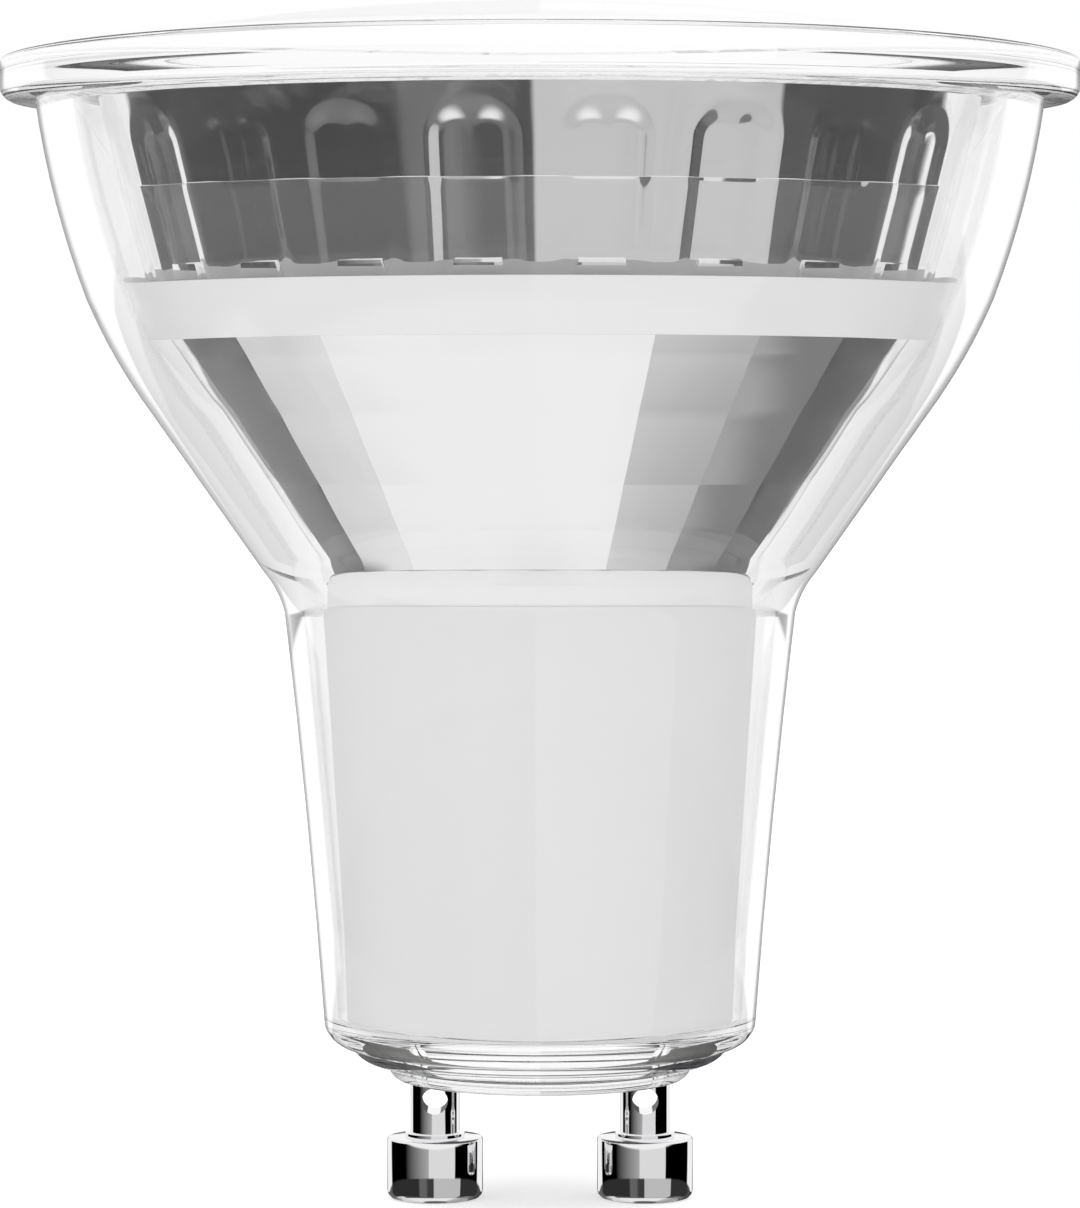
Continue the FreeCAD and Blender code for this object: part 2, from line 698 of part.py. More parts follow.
def board_screws():
    """Two pan-head screws with crossed slots that hold the light source down."""
    level = size(LED_BOARD_TOP)
    head_depth, head_radius = size("screw_head_depth"), size("screw_head_radius")
    slot_width, slot_depth = size("screw_slot_width"), size("screw_slot_depth")
    shank = Part.makeCylinder(size("screw_shank_radius"), size("screw_length"),
                              FreeCAD.Vector(0, 0, size(SCREW_FOOT)))
    head = Part.makeCylinder(head_radius, head_depth, FreeCAD.Vector(0, 0, level))
    crest = [edge for edge in head.Edges if edge.BoundBox.ZMin > level + head_depth / 2]
    head = head.makeFillet(head_depth * 0.6, [crest[0]])
    screw = shank.fuse(head)
    for turn in (0, 90):
        slot = Part.makeBox(head_radius * 1.3, slot_width, slot_depth,
                            FreeCAD.Vector(-head_radius * 0.65, -slot_width / 2, level + head_depth - slot_depth))
        slot.rotate(CENTRE, Z_AXIS, turn)
        screw = screw.cut(slot)
    pair = []
    for side in (1, -1):
        copy = screw.copy()
        copy.translate(X_AXIS * (side * size("screw_place")))
        pair.append(copy)
    shaped("board_screws", Part.makeCompound(pair))


def driver_board():
    """Upright circuit board of the driver, held in the sleeve's guides."""
    body = new_body("driver_board")
    sketch = new_sketch(body, "board_outline", "XY_Plane", BOARD_FOOT)
    outline(sketch, box_corners("0 - board_width / 2", "board_width / 2", BOARD_FRONT, "board_back"))
    raised(body, "board", sketch, "board_height")


def electrolytic_capacitor():
    """Round can with a rolled groove near its foot, standing in front of the board."""
    body = new_body("electrolytic_capacitor")
    turned(body, "can_turn", [
        ("0", "can_height"),
        ("can_radius - slip_gap", "can_height"),
        ("can_radius", "can_height + slip_gap"),
        ("can_radius", "can_height + can_groove_depth * 3"),
        ("can_radius - can_groove_depth", "can_height + can_groove_depth * 4"),
        ("can_radius", "can_height + can_groove_depth * 5"),
        ("can_radius", "can_height + can_length - can_groove_depth"),
        ("can_radius - can_groove_depth", "can_height + can_length"),
        ("0", "can_height + can_length"),
    ])
    body.setExpression("Placement.Base.x", cells("can_place"))
    body.setExpression("Placement.Base.y", cells(BOARD_FRONT + " - slip_gap - can_radius"))
    doc.recompute()


def film_capacitor():
    """Box-shaped capacitor with rounded edges, in front of the board."""
    body = new_body("film_capacitor")
    sketch = new_sketch(body, "film_outline", "XY_Plane", "film_height")
    outline(sketch, box_corners("0 - film_place - film_width / 2", "film_width / 2 - film_place",
                                BOARD_FRONT + " - slip_gap - film_depth", BOARD_FRONT + " - slip_gap"))
    pad = raised(body, "film", sketch, "film_length")
    upright = ["Edge%d" % number for number, edge in enumerate(pad.Shape.Edges, start=1)
               if edge.BoundBox.ZLength > size("film_length") / 2]
    fillet = body.newObject("PartDesign::Fillet", "film_rounds")
    fillet.Base = (pad, upright)
    fillet.setExpression("Radius", cells("film_depth / 8"))
    body.Tip = fillet
    doc.recompute()


def place_choke(piece):
    """Puts a choke part on its axis in front of the board."""
    piece.setExpression("Placement.Base.x", cells("0 - choke_place"))
    piece.setExpression("Placement.Base.y", cells(BOARD_FRONT + " - slip_gap - choke_radius"))
    doc.recompute()


def choke_core():
    """Ferrite drum of the choke."""
    body = new_body("choke_core")
    turned(body, "core_turn", [
        ("0", "choke_height"),
        ("choke_radius", "choke_height"),
        ("choke_radius", "choke_height + choke_flange"),
        ("choke_waist_radius", "choke_height + choke_flange"),
        ("choke_waist_radius", "choke_height + choke_length - choke_flange"),
        ("choke_radius", "choke_height + choke_length - choke_flange"),
        ("choke_radius", "choke_height + choke_length"),
        ("0", "choke_height + choke_length"),
    ])
    place_choke(body)


def choke_winding():
    """Copper winding on the drum, as one sleeve of wire."""
    body = new_body("choke_winding")
    turned(body, "winding_turn", box_corners(
        "choke_waist_radius + glass_gap", "winding_radius",
        "choke_height + choke_flange", "choke_height + choke_length - choke_flange"))
    place_choke(body)


def bridge_rectifier():
    """Moulded rectifier on the back of the board, with four feet."""
    low, width, length = size("bridge_height"), size("bridge_width"), size("bridge_length")
    back, depth, place = size("board_back"), size("bridge_depth"), size("bridge_place")
    lift = size("slip_gap")
    case = Part.makeBox(width, depth, length, FreeCAD.Vector(-place - width / 2, back + lift, low))
    case = case.makeChamfer(lift * 2, [edge for edge in case.Edges if edge.BoundBox.YMin > back + depth])
    for across in (-place - width / 4, -place + width / 4):
        for level in (low - lift * 5, low + length):
            foot = Part.makeBox(lift * 6, lift * 3, lift * 5, FreeCAD.Vector(across - lift * 3, back, level))
            case = case.fuse(foot.fuse(Part.makeBox(
                lift * 6, lift * 2, lift * 10, FreeCAD.Vector(across - lift * 3, back + lift, level - lift * 2.5))))
    shaped("bridge_rectifier", case)


def driver_chip():
    """Control chip on the back of the board, with four legs a side."""
    low, width, length = size("chip_height"), size("chip_width"), size("chip_length")
    back, depth, place = size("board_back"), size("chip_depth"), size("chip_place")
    reach, leg, pitch = size("chip_leg_reach"), size("chip_leg_width"), size("chip_leg_pitch")
    lift = size("slip_gap")
    chip = Part.makeBox(width, depth, length, FreeCAD.Vector(place - width / 2, back + lift, low))
    chip = chip.makeChamfer(lift * 2, [edge for edge in chip.Edges if edge.BoundBox.YMin > back + depth])
    for index in range(4):
        level = low + length / 2 + (index - 1.5) * pitch - leg / 2
        span = width + 2 * reach
        chip = chip.fuse(Part.makeBox(span, lift * 2, leg, FreeCAD.Vector(place - span / 2, back, level)))
    shaped("driver_chip", chip)


def fuse_resistor():
    """Fusible resistor lying across the front of the board, with two end caps."""
    body = new_body("fuse_resistor")
    half = "fuse_length / 2"
    neck = "fuse_radius - slip_gap"
    turned(body, "fuse_turn", [
        ("0", "0 - " + half),
        ("fuse_radius", "0 - " + half),
        ("fuse_radius", "fuse_cap_length - " + half),
        (neck, "fuse_cap_length + slip_gap - " + half),
        (neck, half + " - fuse_cap_length - slip_gap"),
        ("fuse_radius", half + " - fuse_cap_length"),
        ("fuse_radius", half),
        ("0", half),
    ])
    body.Placement.Rotation = FreeCAD.Rotation(Y_AXIS, 90)
    body.setExpression("Placement.Base.x", cells("fuse_place"))
    body.setExpression("Placement.Base.y", cells(BOARD_FRONT + " - slip_gap - fuse_radius"))
    body.setExpression("Placement.Base.z", cells("fuse_height"))
    doc.recompute()


def bent_wire(points, bend, radius):
    """Round wire along straight runs joined by tangent arcs."""
    edges = []
    start = points[0]
    for index in range(1, len(points) - 1):
        corner = points[index]
        back = (points[index - 1] - corner).normalize()
        ahead = (points[index + 1] - corner).normalize()
        half_angle = back.getAngle(ahead) / 2
        run = bend / math.tan(half_angle)
        middle = (back + ahead).normalize()
        centre = corner + middle * (bend / math.sin(half_angle))
        first, last = corner + back * run, corner + ahead * run
        edges.append(Part.LineSegment(start, first).toShape())
        edges.append(Part.Arc(first, centre - middle * bend, last).toShape())
        start = last
    edges.append(Part.LineSegment(start, points[-1]).toShape())
    path = Part.Wire(edges)
    heading = (points[1] - points[0]).normalize()
    section = Part.Wire([Part.makeCircle(radius, points[0], heading)])
    return path.makePipeShell([section], True, True)


def supply_lead(name, side):
    """Wire from the bore of a contact pin to the foot of the driver board."""
    across = side * size("pin_pitch") / 2
    level = size(TAIL_TOP) + size("lead_rise")
    wire = bent_wire([
        FreeCAD.Vector(across, 0, size("floor_depth")),
        FreeCAD.Vector(across, 0, level),
        FreeCAD.Vector(across, size(BOARD_FRONT), level)], size("wire_bend"), size("wire_radius"))
    shaped(name, wire)


def led_lead(name, side):
    """Wire from the top of the driver board through the spreader to the light source's board."""
    across = side * size("led_lead_place")
    middle = size("board_back") - size("board_depth") / 2
    start = FreeCAD.Vector(across, middle, size(BOARD_TOP))
    length = size(SPREADER_TOP) - start.z
    shaped(name, Part.makeCylinder(size("wire_radius"), length, start))


def contact_pin(name, side):
    """Turned pin with a thick head, a cross hole, a riveted collar and a hollow tail."""
    body = new_body(name)
    turned(body, "pin_turn", [
        ("0", HEAD_FOOT),
        ("head_radius", HEAD_FOOT),
        ("head_radius", HEAD_TOP),
        ("stem_seat_radius", HEAD_TOP),
        ("stem_seat_radius", HEAD_TOP + " + stem_seat_depth"),
        ("stem_radius", HEAD_TOP + " + stem_seat_depth"),
        ("stem_radius", WASHER_TOP),
        ("rivet_radius", WASHER_TOP),
        ("pin_tail_radius", RIVET_TOP),
        ("pin_tail_radius", TAIL_TOP),
        ("pin_bore_radius", TAIL_TOP),
        ("pin_bore_radius", "pin_bore_floor"),
        ("0", "pin_bore_floor"),
    ])
    cross = new_sketch(body, "cross_hole_outline", "XZ_Plane", "0 - head_radius")
    circle(cross, "0", "0 - cross_hole_drop", "cross_hole_radius")
    before = body.Shape.Volume
    hole = body.newObject("PartDesign::Pocket", "cross_hole")
    hole.Profile = cross
    hole.Reversed = True
    hole.setExpression("Length", cells("head_radius * 2"))
    body.Tip = hole
    doc.recompute()
    if not hole.Shape.Volume < before:
        raise RuntimeError("the cross hole takes nothing away")
    rounded(body, "head_foot_edge", [HEAD_FOOT], ["head_radius"], "head_foot_round")
    rounded(body, "head_top_edge", [HEAD_TOP], ["head_radius"], "head_top_round")
    body.setExpression("Placement.Base.x", cells("pin_pitch / 2" if side > 0 else "0 - pin_pitch / 2"))
    doc.recompute()


def pin_washers():
    """Flat washers on the glass floor, under the riveted collars of the pins."""
    washers = []
    for side in (1, -1):
        place = FreeCAD.Vector(side * size("pin_pitch") / 2, 0, size("floor_depth"))
        disc = Part.makeCylinder(size("washer_radius"), size("washer_depth"), place)
        bore = Part.makeCylinder(size("stem_radius + glass_gap"), size("washer_depth"), place)
        washers.append(disc.cut(bore))
    shaped("pin_washers", Part.makeCompound(washers))


glass_body()
front_lens()
lens_seal()
fluted_reflector()
carrier_ring()
facet_reflector()
sleeve_collar()
driver_sleeve()
sleeve_adhesive()
heat_spreader()
led_board()
led_chips()
board_screws()
driver_board()
electrolytic_capacitor()
film_capacitor()
choke_core()
choke_winding()
bridge_rectifier()
driver_chip()
fuse_resistor()
supply_lead("live_lead", 1)
supply_lead("neutral_lead", -1)
led_lead("led_plus_lead", 1)
led_lead("led_minus_lead", -1)
contact_pin("contact_pin_right", 1)
contact_pin("contact_pin_left", -1)
pin_washers()

doc.recompute()
faults = [item.Label for item in doc.Objects if "Invalid" in item.State or "Error" in item.State]
for piece in pieces:
    if piece.Shape.isNull() or not piece.Shape.isValid():
        faults.append(piece.Label)
if faults:
    raise RuntimeError("these did not build: " + ", ".join(faults))

os.makedirs("parts", exist_ok=True)
for piece in pieces:
    piece.Shape.exportStep("parts/" + piece.Label + ".step")
    print(piece.Label, len(piece.Shape.Solids), round(piece.Shape.Volume, 2))
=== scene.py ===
import math

import bpy
from bpy.props import FloatProperty, FloatVectorProperty, IntProperty, PointerProperty
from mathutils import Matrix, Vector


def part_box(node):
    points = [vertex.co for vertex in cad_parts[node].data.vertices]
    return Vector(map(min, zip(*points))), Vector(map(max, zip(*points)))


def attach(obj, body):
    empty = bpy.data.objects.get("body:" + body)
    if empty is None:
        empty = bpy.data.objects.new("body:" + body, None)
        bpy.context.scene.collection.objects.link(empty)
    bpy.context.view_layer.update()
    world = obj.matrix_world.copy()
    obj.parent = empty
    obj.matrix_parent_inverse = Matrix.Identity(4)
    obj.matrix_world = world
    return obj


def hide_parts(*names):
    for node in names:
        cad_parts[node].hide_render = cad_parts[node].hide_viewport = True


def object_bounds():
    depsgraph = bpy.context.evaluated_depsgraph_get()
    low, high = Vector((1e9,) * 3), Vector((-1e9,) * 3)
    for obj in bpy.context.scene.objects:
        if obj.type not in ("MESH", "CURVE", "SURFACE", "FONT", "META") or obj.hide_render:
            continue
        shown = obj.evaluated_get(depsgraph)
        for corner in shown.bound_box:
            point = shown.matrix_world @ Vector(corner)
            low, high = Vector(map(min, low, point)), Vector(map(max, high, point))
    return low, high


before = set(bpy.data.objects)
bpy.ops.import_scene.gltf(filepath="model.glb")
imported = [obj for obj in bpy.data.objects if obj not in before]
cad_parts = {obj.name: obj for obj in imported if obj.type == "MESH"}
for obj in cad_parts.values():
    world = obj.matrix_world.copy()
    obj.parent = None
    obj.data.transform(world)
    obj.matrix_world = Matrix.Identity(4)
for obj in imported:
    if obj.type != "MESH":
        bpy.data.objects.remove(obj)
CAD_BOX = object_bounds()

bl_info = {
    "name": "Clear Glass Reflector Lamp",
    "version": (1, 0, 0),
    "blender": (4, 5, 0),
    "location": "View3D > Sidebar > Lamp",
    "description": "Builds a clear glass reflector lamp with two contact pins, and its studio",
    "category": "Object",
}

MM = 0.001
PHOTO_HEIGHT = 1208      # rows of the photograph
ROUND_STEPS = 256        # steps round most turned pieces
SHARP_ANGLE = 30.0       # degrees past which an edge stays sharp


def low(node, axis):
    """A node's lowest coordinate on an axis, in millimetres."""
    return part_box(node)[0][axis] / MM


def high(node, axis):
    """A node's highest coordinate on an axis, in millimetres."""
    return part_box(node)[1][axis] / MM


def length(name, text, default):
    """A length in millimetres that the user can change."""
    return FloatProperty(name=name, description=text, default=default, min=0.0)


class GlassSizes(bpy.types.PropertyGroup):
    """Outline of the clear glass body."""
    base_radius: length("Base radius", "Flat disc under the lamp", 6.6)
    bead_radius: length("Bead radius", "First step of the base", 7.2)
    bead_height: length("Bead height", "Top of the first step", 0.75)
    bead_bend: length("Bead bend", "Rounding of the first step", 0.7)
    roll_radius: length("Roll radius", "Second step of the base", 8.9)
    roll_height: length("Roll height", "Top of the second step", 1.45)
    roll_bend: length("Roll bend", "Rounding of the upper steps", 1.5)
    step_nick: length("Step nick", "Small ledge between two steps", 0.1)
    foot_radius: length("Foot radius", "Neck where it meets the base", 10.24)
    foot_height: length("Foot height", "Height of that edge", 2.56)
    neck_bend: length("Neck bend", "Slight hollow of the neck", 440.0)
    neck_radius: length("Neck radius", "Top of the neck", 12.1)
    neck_height: length("Neck height", "Top of the neck", 22.2)
    shoulder_bend: length("Shoulder bend", "Rounding between neck and cone", 4.7)
    cone_foot_radius: length("Cone foot radius", "Lower end of the cone", 13.1)
    cone_foot_height: length("Cone foot height", "Lower end of the cone", 24.15)
    cone_top_radius: length("Cone top radius", "Upper end of the cone", 18.4)
    cone_top_height: length("Cone top height", "Upper end of the cone", 31.7)
    waist_bend: length("Waist bend", "Rounding above the cone", 26.9)
    waist_radius: length("Waist radius", "Where the bowl starts", 21.4)
    waist_height: length("Waist height", "Where the bowl starts", 37.0)
    bowl_bend: length("Bowl bend", "Rounding of the bowl", 43.6)
    top_radius: length("Top radius", "Outer edge of the mouth", 23.75)
    bowl_wall: length("Bowl wall", "Wall at the mouth", 1.75)
    waist_wall: length("Waist wall", "Wall at the waist", 1.85)
    cone_wall: length("Cone wall", "Wall of the cone", 1.95)
    neck_wall: length("Neck wall", "Wall of the neck's top", 0.85)
    foot_wall: length("Foot wall", "Wall of the neck's foot", 0.66)
    floor_depth: length("Floor depth", "Glass floor under the driver", 2.7)
    floor_corner: length("Floor corner", "Rounding inside the floor", 0.7)
    shoulder_lift: length("Shoulder lift", "How much higher the inner shoulder sits", 1.4)
    hole_gap: length("Hole gap", "Play round each pin's stem", 0.05)


class LensSizes(bpy.types.PropertyGroup):
    """Outline of the front lens and its rim."""
    foot_bevel: length("Foot bevel", "Rounded lower edge of the rim", 0.45)
    top_bevel: length("Top bevel", "Rounded upper edge of the rim", 0.55)
    bevel_bend: length("Bevel bend", "Radius of both edges", 0.75)
    rim_depth: length("Rim depth", "Height of the rim", 2.3)
    dome_radius: length("Dome radius", "Foot of the dome", 22.2)
    wall: length("Wall", "Wall of the dome", 1.9)
    recess_radius: length("Recess radius", "Hollow under the dome", 19.2)
    recess_depth: length("Recess depth", "Upright edge of the hollow", 0.8)


class FluteSizes(bpy.types.PropertyGroup):
    """Fluted upper reflector."""
    count: IntProperty(name="Count", description="Flutes round the ring", default=22, min=3)
    foot_radius: length("Foot radius", "Wall at the foot", 18.6)
    ledge_radius: length("Ledge radius", "Wall at the ledge", 19.8)
    ledge_height: length("Ledge height", "Height of the ledge", 42.2)
    ledge_step: length("Ledge step", "How far the lower part stands out", 0.08)
    top_radius: length("Top radius", "Wall at the top", 20.8)
    wall: length("Wall", "Wall of the ring", 1.0)
    depth: length("Depth", "Depth of a flute", 0.2)
    half_width: length("Half width", "Half the width of a flute", 2.1)
    arch_height: length("Arch height", "Where a flute's round head starts", 43.9)
    arch_reach: length("Arch reach", "Height of the round head", 1.8)
    side_slope: FloatProperty(name="Side slope", description="Steepness of a flute's sides", default=0.28)
    arch_slope: FloatProperty(name="Arch slope", description="Steepness of the round head's edge",
                              default=0.15)
    blend: length("Blend", "Softness of a flute's edge", 0.03)
    ledge_round: length("Ledge round", "Height of the rounded edge under the ledge, inside a flute", 0.6)
    ledge_drop: length("Ledge drop", "How far that edge falls back", 0.056)
    toe_width: length("Toe width", "Foot in a flute", 2.3)
    toe_height: length("Toe height", "Foot in a flute", 0.7)
    toe_reach: length("Toe reach", "How far the foot stands out of a flute", 0.1)


class FacetSizes(bpy.types.PropertyGroup):
    """Faceted lower reflector."""
    columns: IntProperty(name="Columns", description="Facets round the cone", default=22, min=3)
    foot_radius: length("Foot radius", "Wall at the foot", 10.2)
    top_radius: length("Top radius", "Wall at the top", 17.45)
    row_rise: length("Row rise", "Middle of the lowest row above the foot", 2.05)
    row_pitch: length("Row pitch", "Step from the lowest row to the next", 3.4)
    row_ratio: FloatProperty(name="Row ratio", description="Each step against the one below", default=0.847)
    bend: length("Bend", "Radius of a cushion", 50.0)
    crown: length("Crown", "How far a cushion swells out", 0.05)
    wall: length("Wall", "Wall of the cone", 1.0)
    mouth_wall: length("Mouth wall", "Width of the mouth ring", 1.25)
    mouth_depth: length("Mouth depth", "Height of the mouth ring", 0.8)


class SleeveSizes(bpy.types.PropertyGroup):
    """White sleeve round the driver, the white band and the light sources."""
    foot_radius: length("Foot radius", "Sleeve at the foot", 9.1)
    top_radius: length("Top radius", "Sleeve under the collar", 10.3)
    wall: length("Wall", "Wall of the sleeve and its floor", 0.8)
    opening: length("Opening", "Hole in the sleeve's floor", 7.3)
    guide_start: length("Guide start", "Inner end of the board guides", 7.1)
    guide_width: length("Guide width", "Width of a board guide", 0.8)
    guide_rise: length("Guide rise", "Height of the board guides", 7.0)
    guide_gap: length("Guide gap", "Play between guide and board", 0.1)
    band_foot_wall: length("Band foot wall", "Width of the white band's foot", 2.3)
    band_foot_radius: length("Band foot radius", "White band at the foot", 18.7)
    band_top_radius: length("Band top radius", "White band at the top", 19.7)
    band_top_wall: length("Band top wall", "Width of the white band's top", 2.2)
    source_place: length("Source place", "Ring of light sources", 4.2)
    window_radius: length("Window radius", "Round window of a light source", 1.05)
    window_depth: length("Window depth", "How deep the window is sunk", 0.12)


class PinSizes(bpy.types.PropertyGroup):
    """Contact pins."""
    pitch: length("Pitch", "Distance between the two pins", 10.0)
    stem_radius: length("Stem radius", "Thin part of the pin", 1.17)
    stem_length: length("Stem length", "From the glass to the head", 2.8)
    head_radius: length("Head radius", "Thick part of the pin", 2.28)
    head_depth: length("Head depth", "Height of the head", 2.95)
    foot_round: length("Foot round", "Rounded lower edge", 0.4)
    top_round: length("Top round", "Rounded upper edge", 0.12)
    seat_radius: length("Seat radius", "Small ring round the stem", 1.42)
    seat_depth: length("Seat depth", "Height of that ring", 0.18)
    hole_radius: length("Hole radius", "Cross hole", 0.62)
    hole_drop: length("Hole drop", "Cross hole below the glass", 1.0)
    rivet_radius: length("Rivet radius", "Spread end inside the lamp", 1.5)
    rivet_foot: length("Rivet foot", "Where the spread end starts", 3.1)
    rivet_top: length("Rivet top", "Where the spread end stops", 3.5)
    tail_radius: length("Tail radius", "Hollow end", 0.95)
    tail_top: length("Tail top", "End of the pin", 4.5)
    bore_radius: length("Bore radius", "Bore for the wire", 0.6)
    bore_floor: length("Bore floor", "Where the bore ends", 0.5)


class StudioLook(bpy.types.PropertyGroup):
    """Camera, light and the light panels that bright pieces mirror."""
    distance: length("Distance", "Camera to the lamp's axis", 252.0)
    eye_height: length("Eye height", "Camera above the glass base", 33.2)
    horizon_row: FloatProperty(name="Horizon row", description="Row of the photograph at eye level",
                               default=380.0)
    focal_rows: FloatProperty(name="Focal length", description="In rows of the photograph", default=5314.0)
    white: FloatVectorProperty(name="White", description="Background", size=3, subtype="COLOR",
                               default=(1, 1, 1))


class FinishColours(bpy.types.PropertyGroup):
    """Colours of the finishes."""
    mirror: FloatVectorProperty(name="Mirror", description="Bright coating", size=3, subtype="COLOR",
                                default=(0.92, 0.92, 0.92))
    chrome: FloatVectorProperty(name="Chrome", description="Pins", size=3, subtype="COLOR",
                                default=(0.86, 0.86, 0.87))
    band: FloatVectorProperty(name="Band", description="White band", size=3, subtype="COLOR",
                              default=(0.92, 0.92, 0.92))
    sleeve: FloatVectorProperty(name="Sleeve", description="White sleeve", size=3, subtype="COLOR",
                                default=(0.86, 0.86, 0.86))


# Meshes


def pick_only(piece):
    """Makes one object the only selected one."""
    bpy.ops.object.select_all(action="DESELECT")
    piece.select_set(True)
    bpy.context.view_layer.objects.active = piece


ARC_SPACING = 0.22               # millimetres between two points of an arc
ARC_TURN = math.radians(2.5)     # turn between two points of a tight arc


def arc_points(start, end, bend, side):
    """Points after start, up to end, on an arc. Side 1 turns left on the way, side -1 turns right."""
    across, up = end[0] - start[0], end[1] - start[1]
    chord = math.hypot(across, up)
    reach = math.sqrt(max(bend ** 2 - (chord / 2) ** 2, 0.0)) * side
    centre = ((start[0] + end[0]) / 2 - up / chord * reach, (start[1] + end[1]) / 2 + across / chord * reach)
    turn = 2 * math.asin(min(chord / 2 / bend, 1.0)) * side
    first = math.atan2(start[1] - centre[1], start[0] - centre[0])
    count = max(3, min(math.ceil(abs(turn) * bend / ARC_SPACING), math.ceil(abs(turn) / ARC_TURN) + 2))
    angles = [first + turn * (step + 1) / count for step in range(count)]
    return [(centre[0] + bend * math.cos(a), centre[1] + bend * math.sin(a)) for a in angles]


def outline_points(corners, closed):
    """All points of an outline. A corner is (radius, height), with (bend, side) too before an arc."""
    points = [corners[0][:2]]
    for index, corner in enumerate(corners):
        if index == len(corners) - 1 and not closed:
            break
        following = corners[(index + 1) % len(corners)][:2]
        if len(corner) == 4:
            points += arc_points(corner[:2], following, corner[2], corner[3])
        else:
            points.append(following)
    return points[:-1] if closed else points


def divided(start, end, count):
    """Points from start up to, but not with, end."""
    return [(start[0] + (end[0] - start[0]) * step / count, start[1] + (end[1] - start[1]) * step / count)
            for step in range(count)]


def lathe(name, points, closed, steps=ROUND_STEPS, smooth=SHARP_ANGLE, place=0.0):
    """Spins an outline in millimetres round Z into a closed piece, moved along X by place."""
    mesh = bpy.data.meshes.new(name)
    count = len(points)
    edges = [(index, (index + 1) % count) for index in range(count if closed else count - 1)]
    mesh.from_pydata([(radius * MM, 0.0, height * MM) for radius, height in points], edges, [])
    piece = bpy.data.objects.new(name, mesh)
    bpy.context.collection.objects.link(piece)
    pick_only(piece)
    bpy.ops.object.mode_set(mode="EDIT")
    bpy.ops.mesh.select_all(action="SELECT")
    bpy.ops.mesh.spin(steps=steps, angle=math.tau, center=(0, 0, 0), axis=(0, 0, 1))
    bpy.ops.mesh.select_all(action="SELECT")
    bpy.ops.mesh.remove_doubles(threshold=1e-7)
    bpy.ops.mesh.normals_make_consistent(inside=False)
    bpy.ops.object.mode_set(mode="OBJECT")
    for vertex in mesh.vertices:
        vertex.co.x += place * MM
    bpy.ops.object.shade_smooth_by_angle(angle=math.radians(smooth))
    return piece


def drum(name, radius, foot, top, place, along="Z"):
    """A round cutter, standing at place on X, or lying along Y at height foot with top as its length."""
    bpy.ops.object.select_all(action="DESELECT")
    turn = (math.radians(90), 0, 0) if along == "Y" else (0, 0, 0)
    centre = (place * MM, 0, foot * MM) if along == "Y" else (place * MM, 0, (foot + top) / 2 * MM)
    depth = top * MM if along == "Y" else (top - foot) * MM
    bpy.ops.mesh.primitive_cylinder_add(vertices=64, radius=radius * MM, depth=depth,
                                        location=centre, rotation=turn)
    cutter = bpy.context.active_object
    cutter.name = name
    bpy.ops.object.transform_apply(location=True, rotation=True, scale=True)
    return cutter


def block(name, first, last):
    """A box between two corners in millimetres."""
    bpy.ops.object.select_all(action="DESELECT")
    bpy.ops.mesh.primitive_cube_add(size=1.0)
    piece = bpy.context.active_object
    piece.name = name
    for vertex in piece.data.vertices:
        vertex.co = [(high_end if part > 0 else low_end) * MM
                     for part, low_end, high_end in zip(vertex.co, first, last)]
    return piece


def join_all(piece, others):
    """Makes the other objects part of a piece."""
    bpy.ops.object.select_all(action="DESELECT")
    for other in others:
        other.select_set(True)
    piece.select_set(True)
    bpy.context.view_layer.objects.active = piece
    bpy.ops.object.join()


def cut_away(piece, cutters):
    """Takes the cutters out of a piece and deletes them."""
    for cutter in cutters:
        pick_only(piece)
        step = piece.modifiers.new("hole", "BOOLEAN")
        step.operation = "DIFFERENCE"
        step.solver = "EXACT"
        step.object = cutter
        bpy.ops.object.modifier_apply(modifier=step.name)
        bpy.data.objects.remove(cutter)
    pick_only(piece)
    bpy.ops.object.shade_smooth_by_angle(angle=math.radians(SHARP_ANGLE))


def finish_piece(piece, material, slot, *nodes):
    """Gives a piece its material, attaches it to the root and hides the solids it stands for."""
    piece.data.materials.clear()
    piece.data.materials.append(material)
    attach(piece, "root")
    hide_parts(*nodes)


# Materials


class Wire:
    """A value in a node tree that takes part in plain arithmetic."""

    def __init__(self, tree, socket):
        self.tree = tree
        self.socket = socket

    def join(self, operation, other, swapped=False):
        node = self.tree.nodes.new("ShaderNodeMath")
        node.operation = operation
        pair = (other, self) if swapped else (self, other)
        for slot, value in zip(node.inputs, pair):
            if isinstance(value, Wire):
                self.tree.links.new(value.socket, slot)
            else:
                slot.default_value = value
        return Wire(self.tree, node.outputs[0])

    def __add__(self, other):
        return self.join("ADD", other)

    __radd__ = __add__

    def __sub__(self, other):
        return self.join("SUBTRACT", other)

    def __rsub__(self, other):
        return self.join("SUBTRACT", other, swapped=True)

    def __mul__(self, other):
        return self.join("MULTIPLY", other)

    __rmul__ = __mul__

    def __truediv__(self, other):
        return self.join("DIVIDE", other)


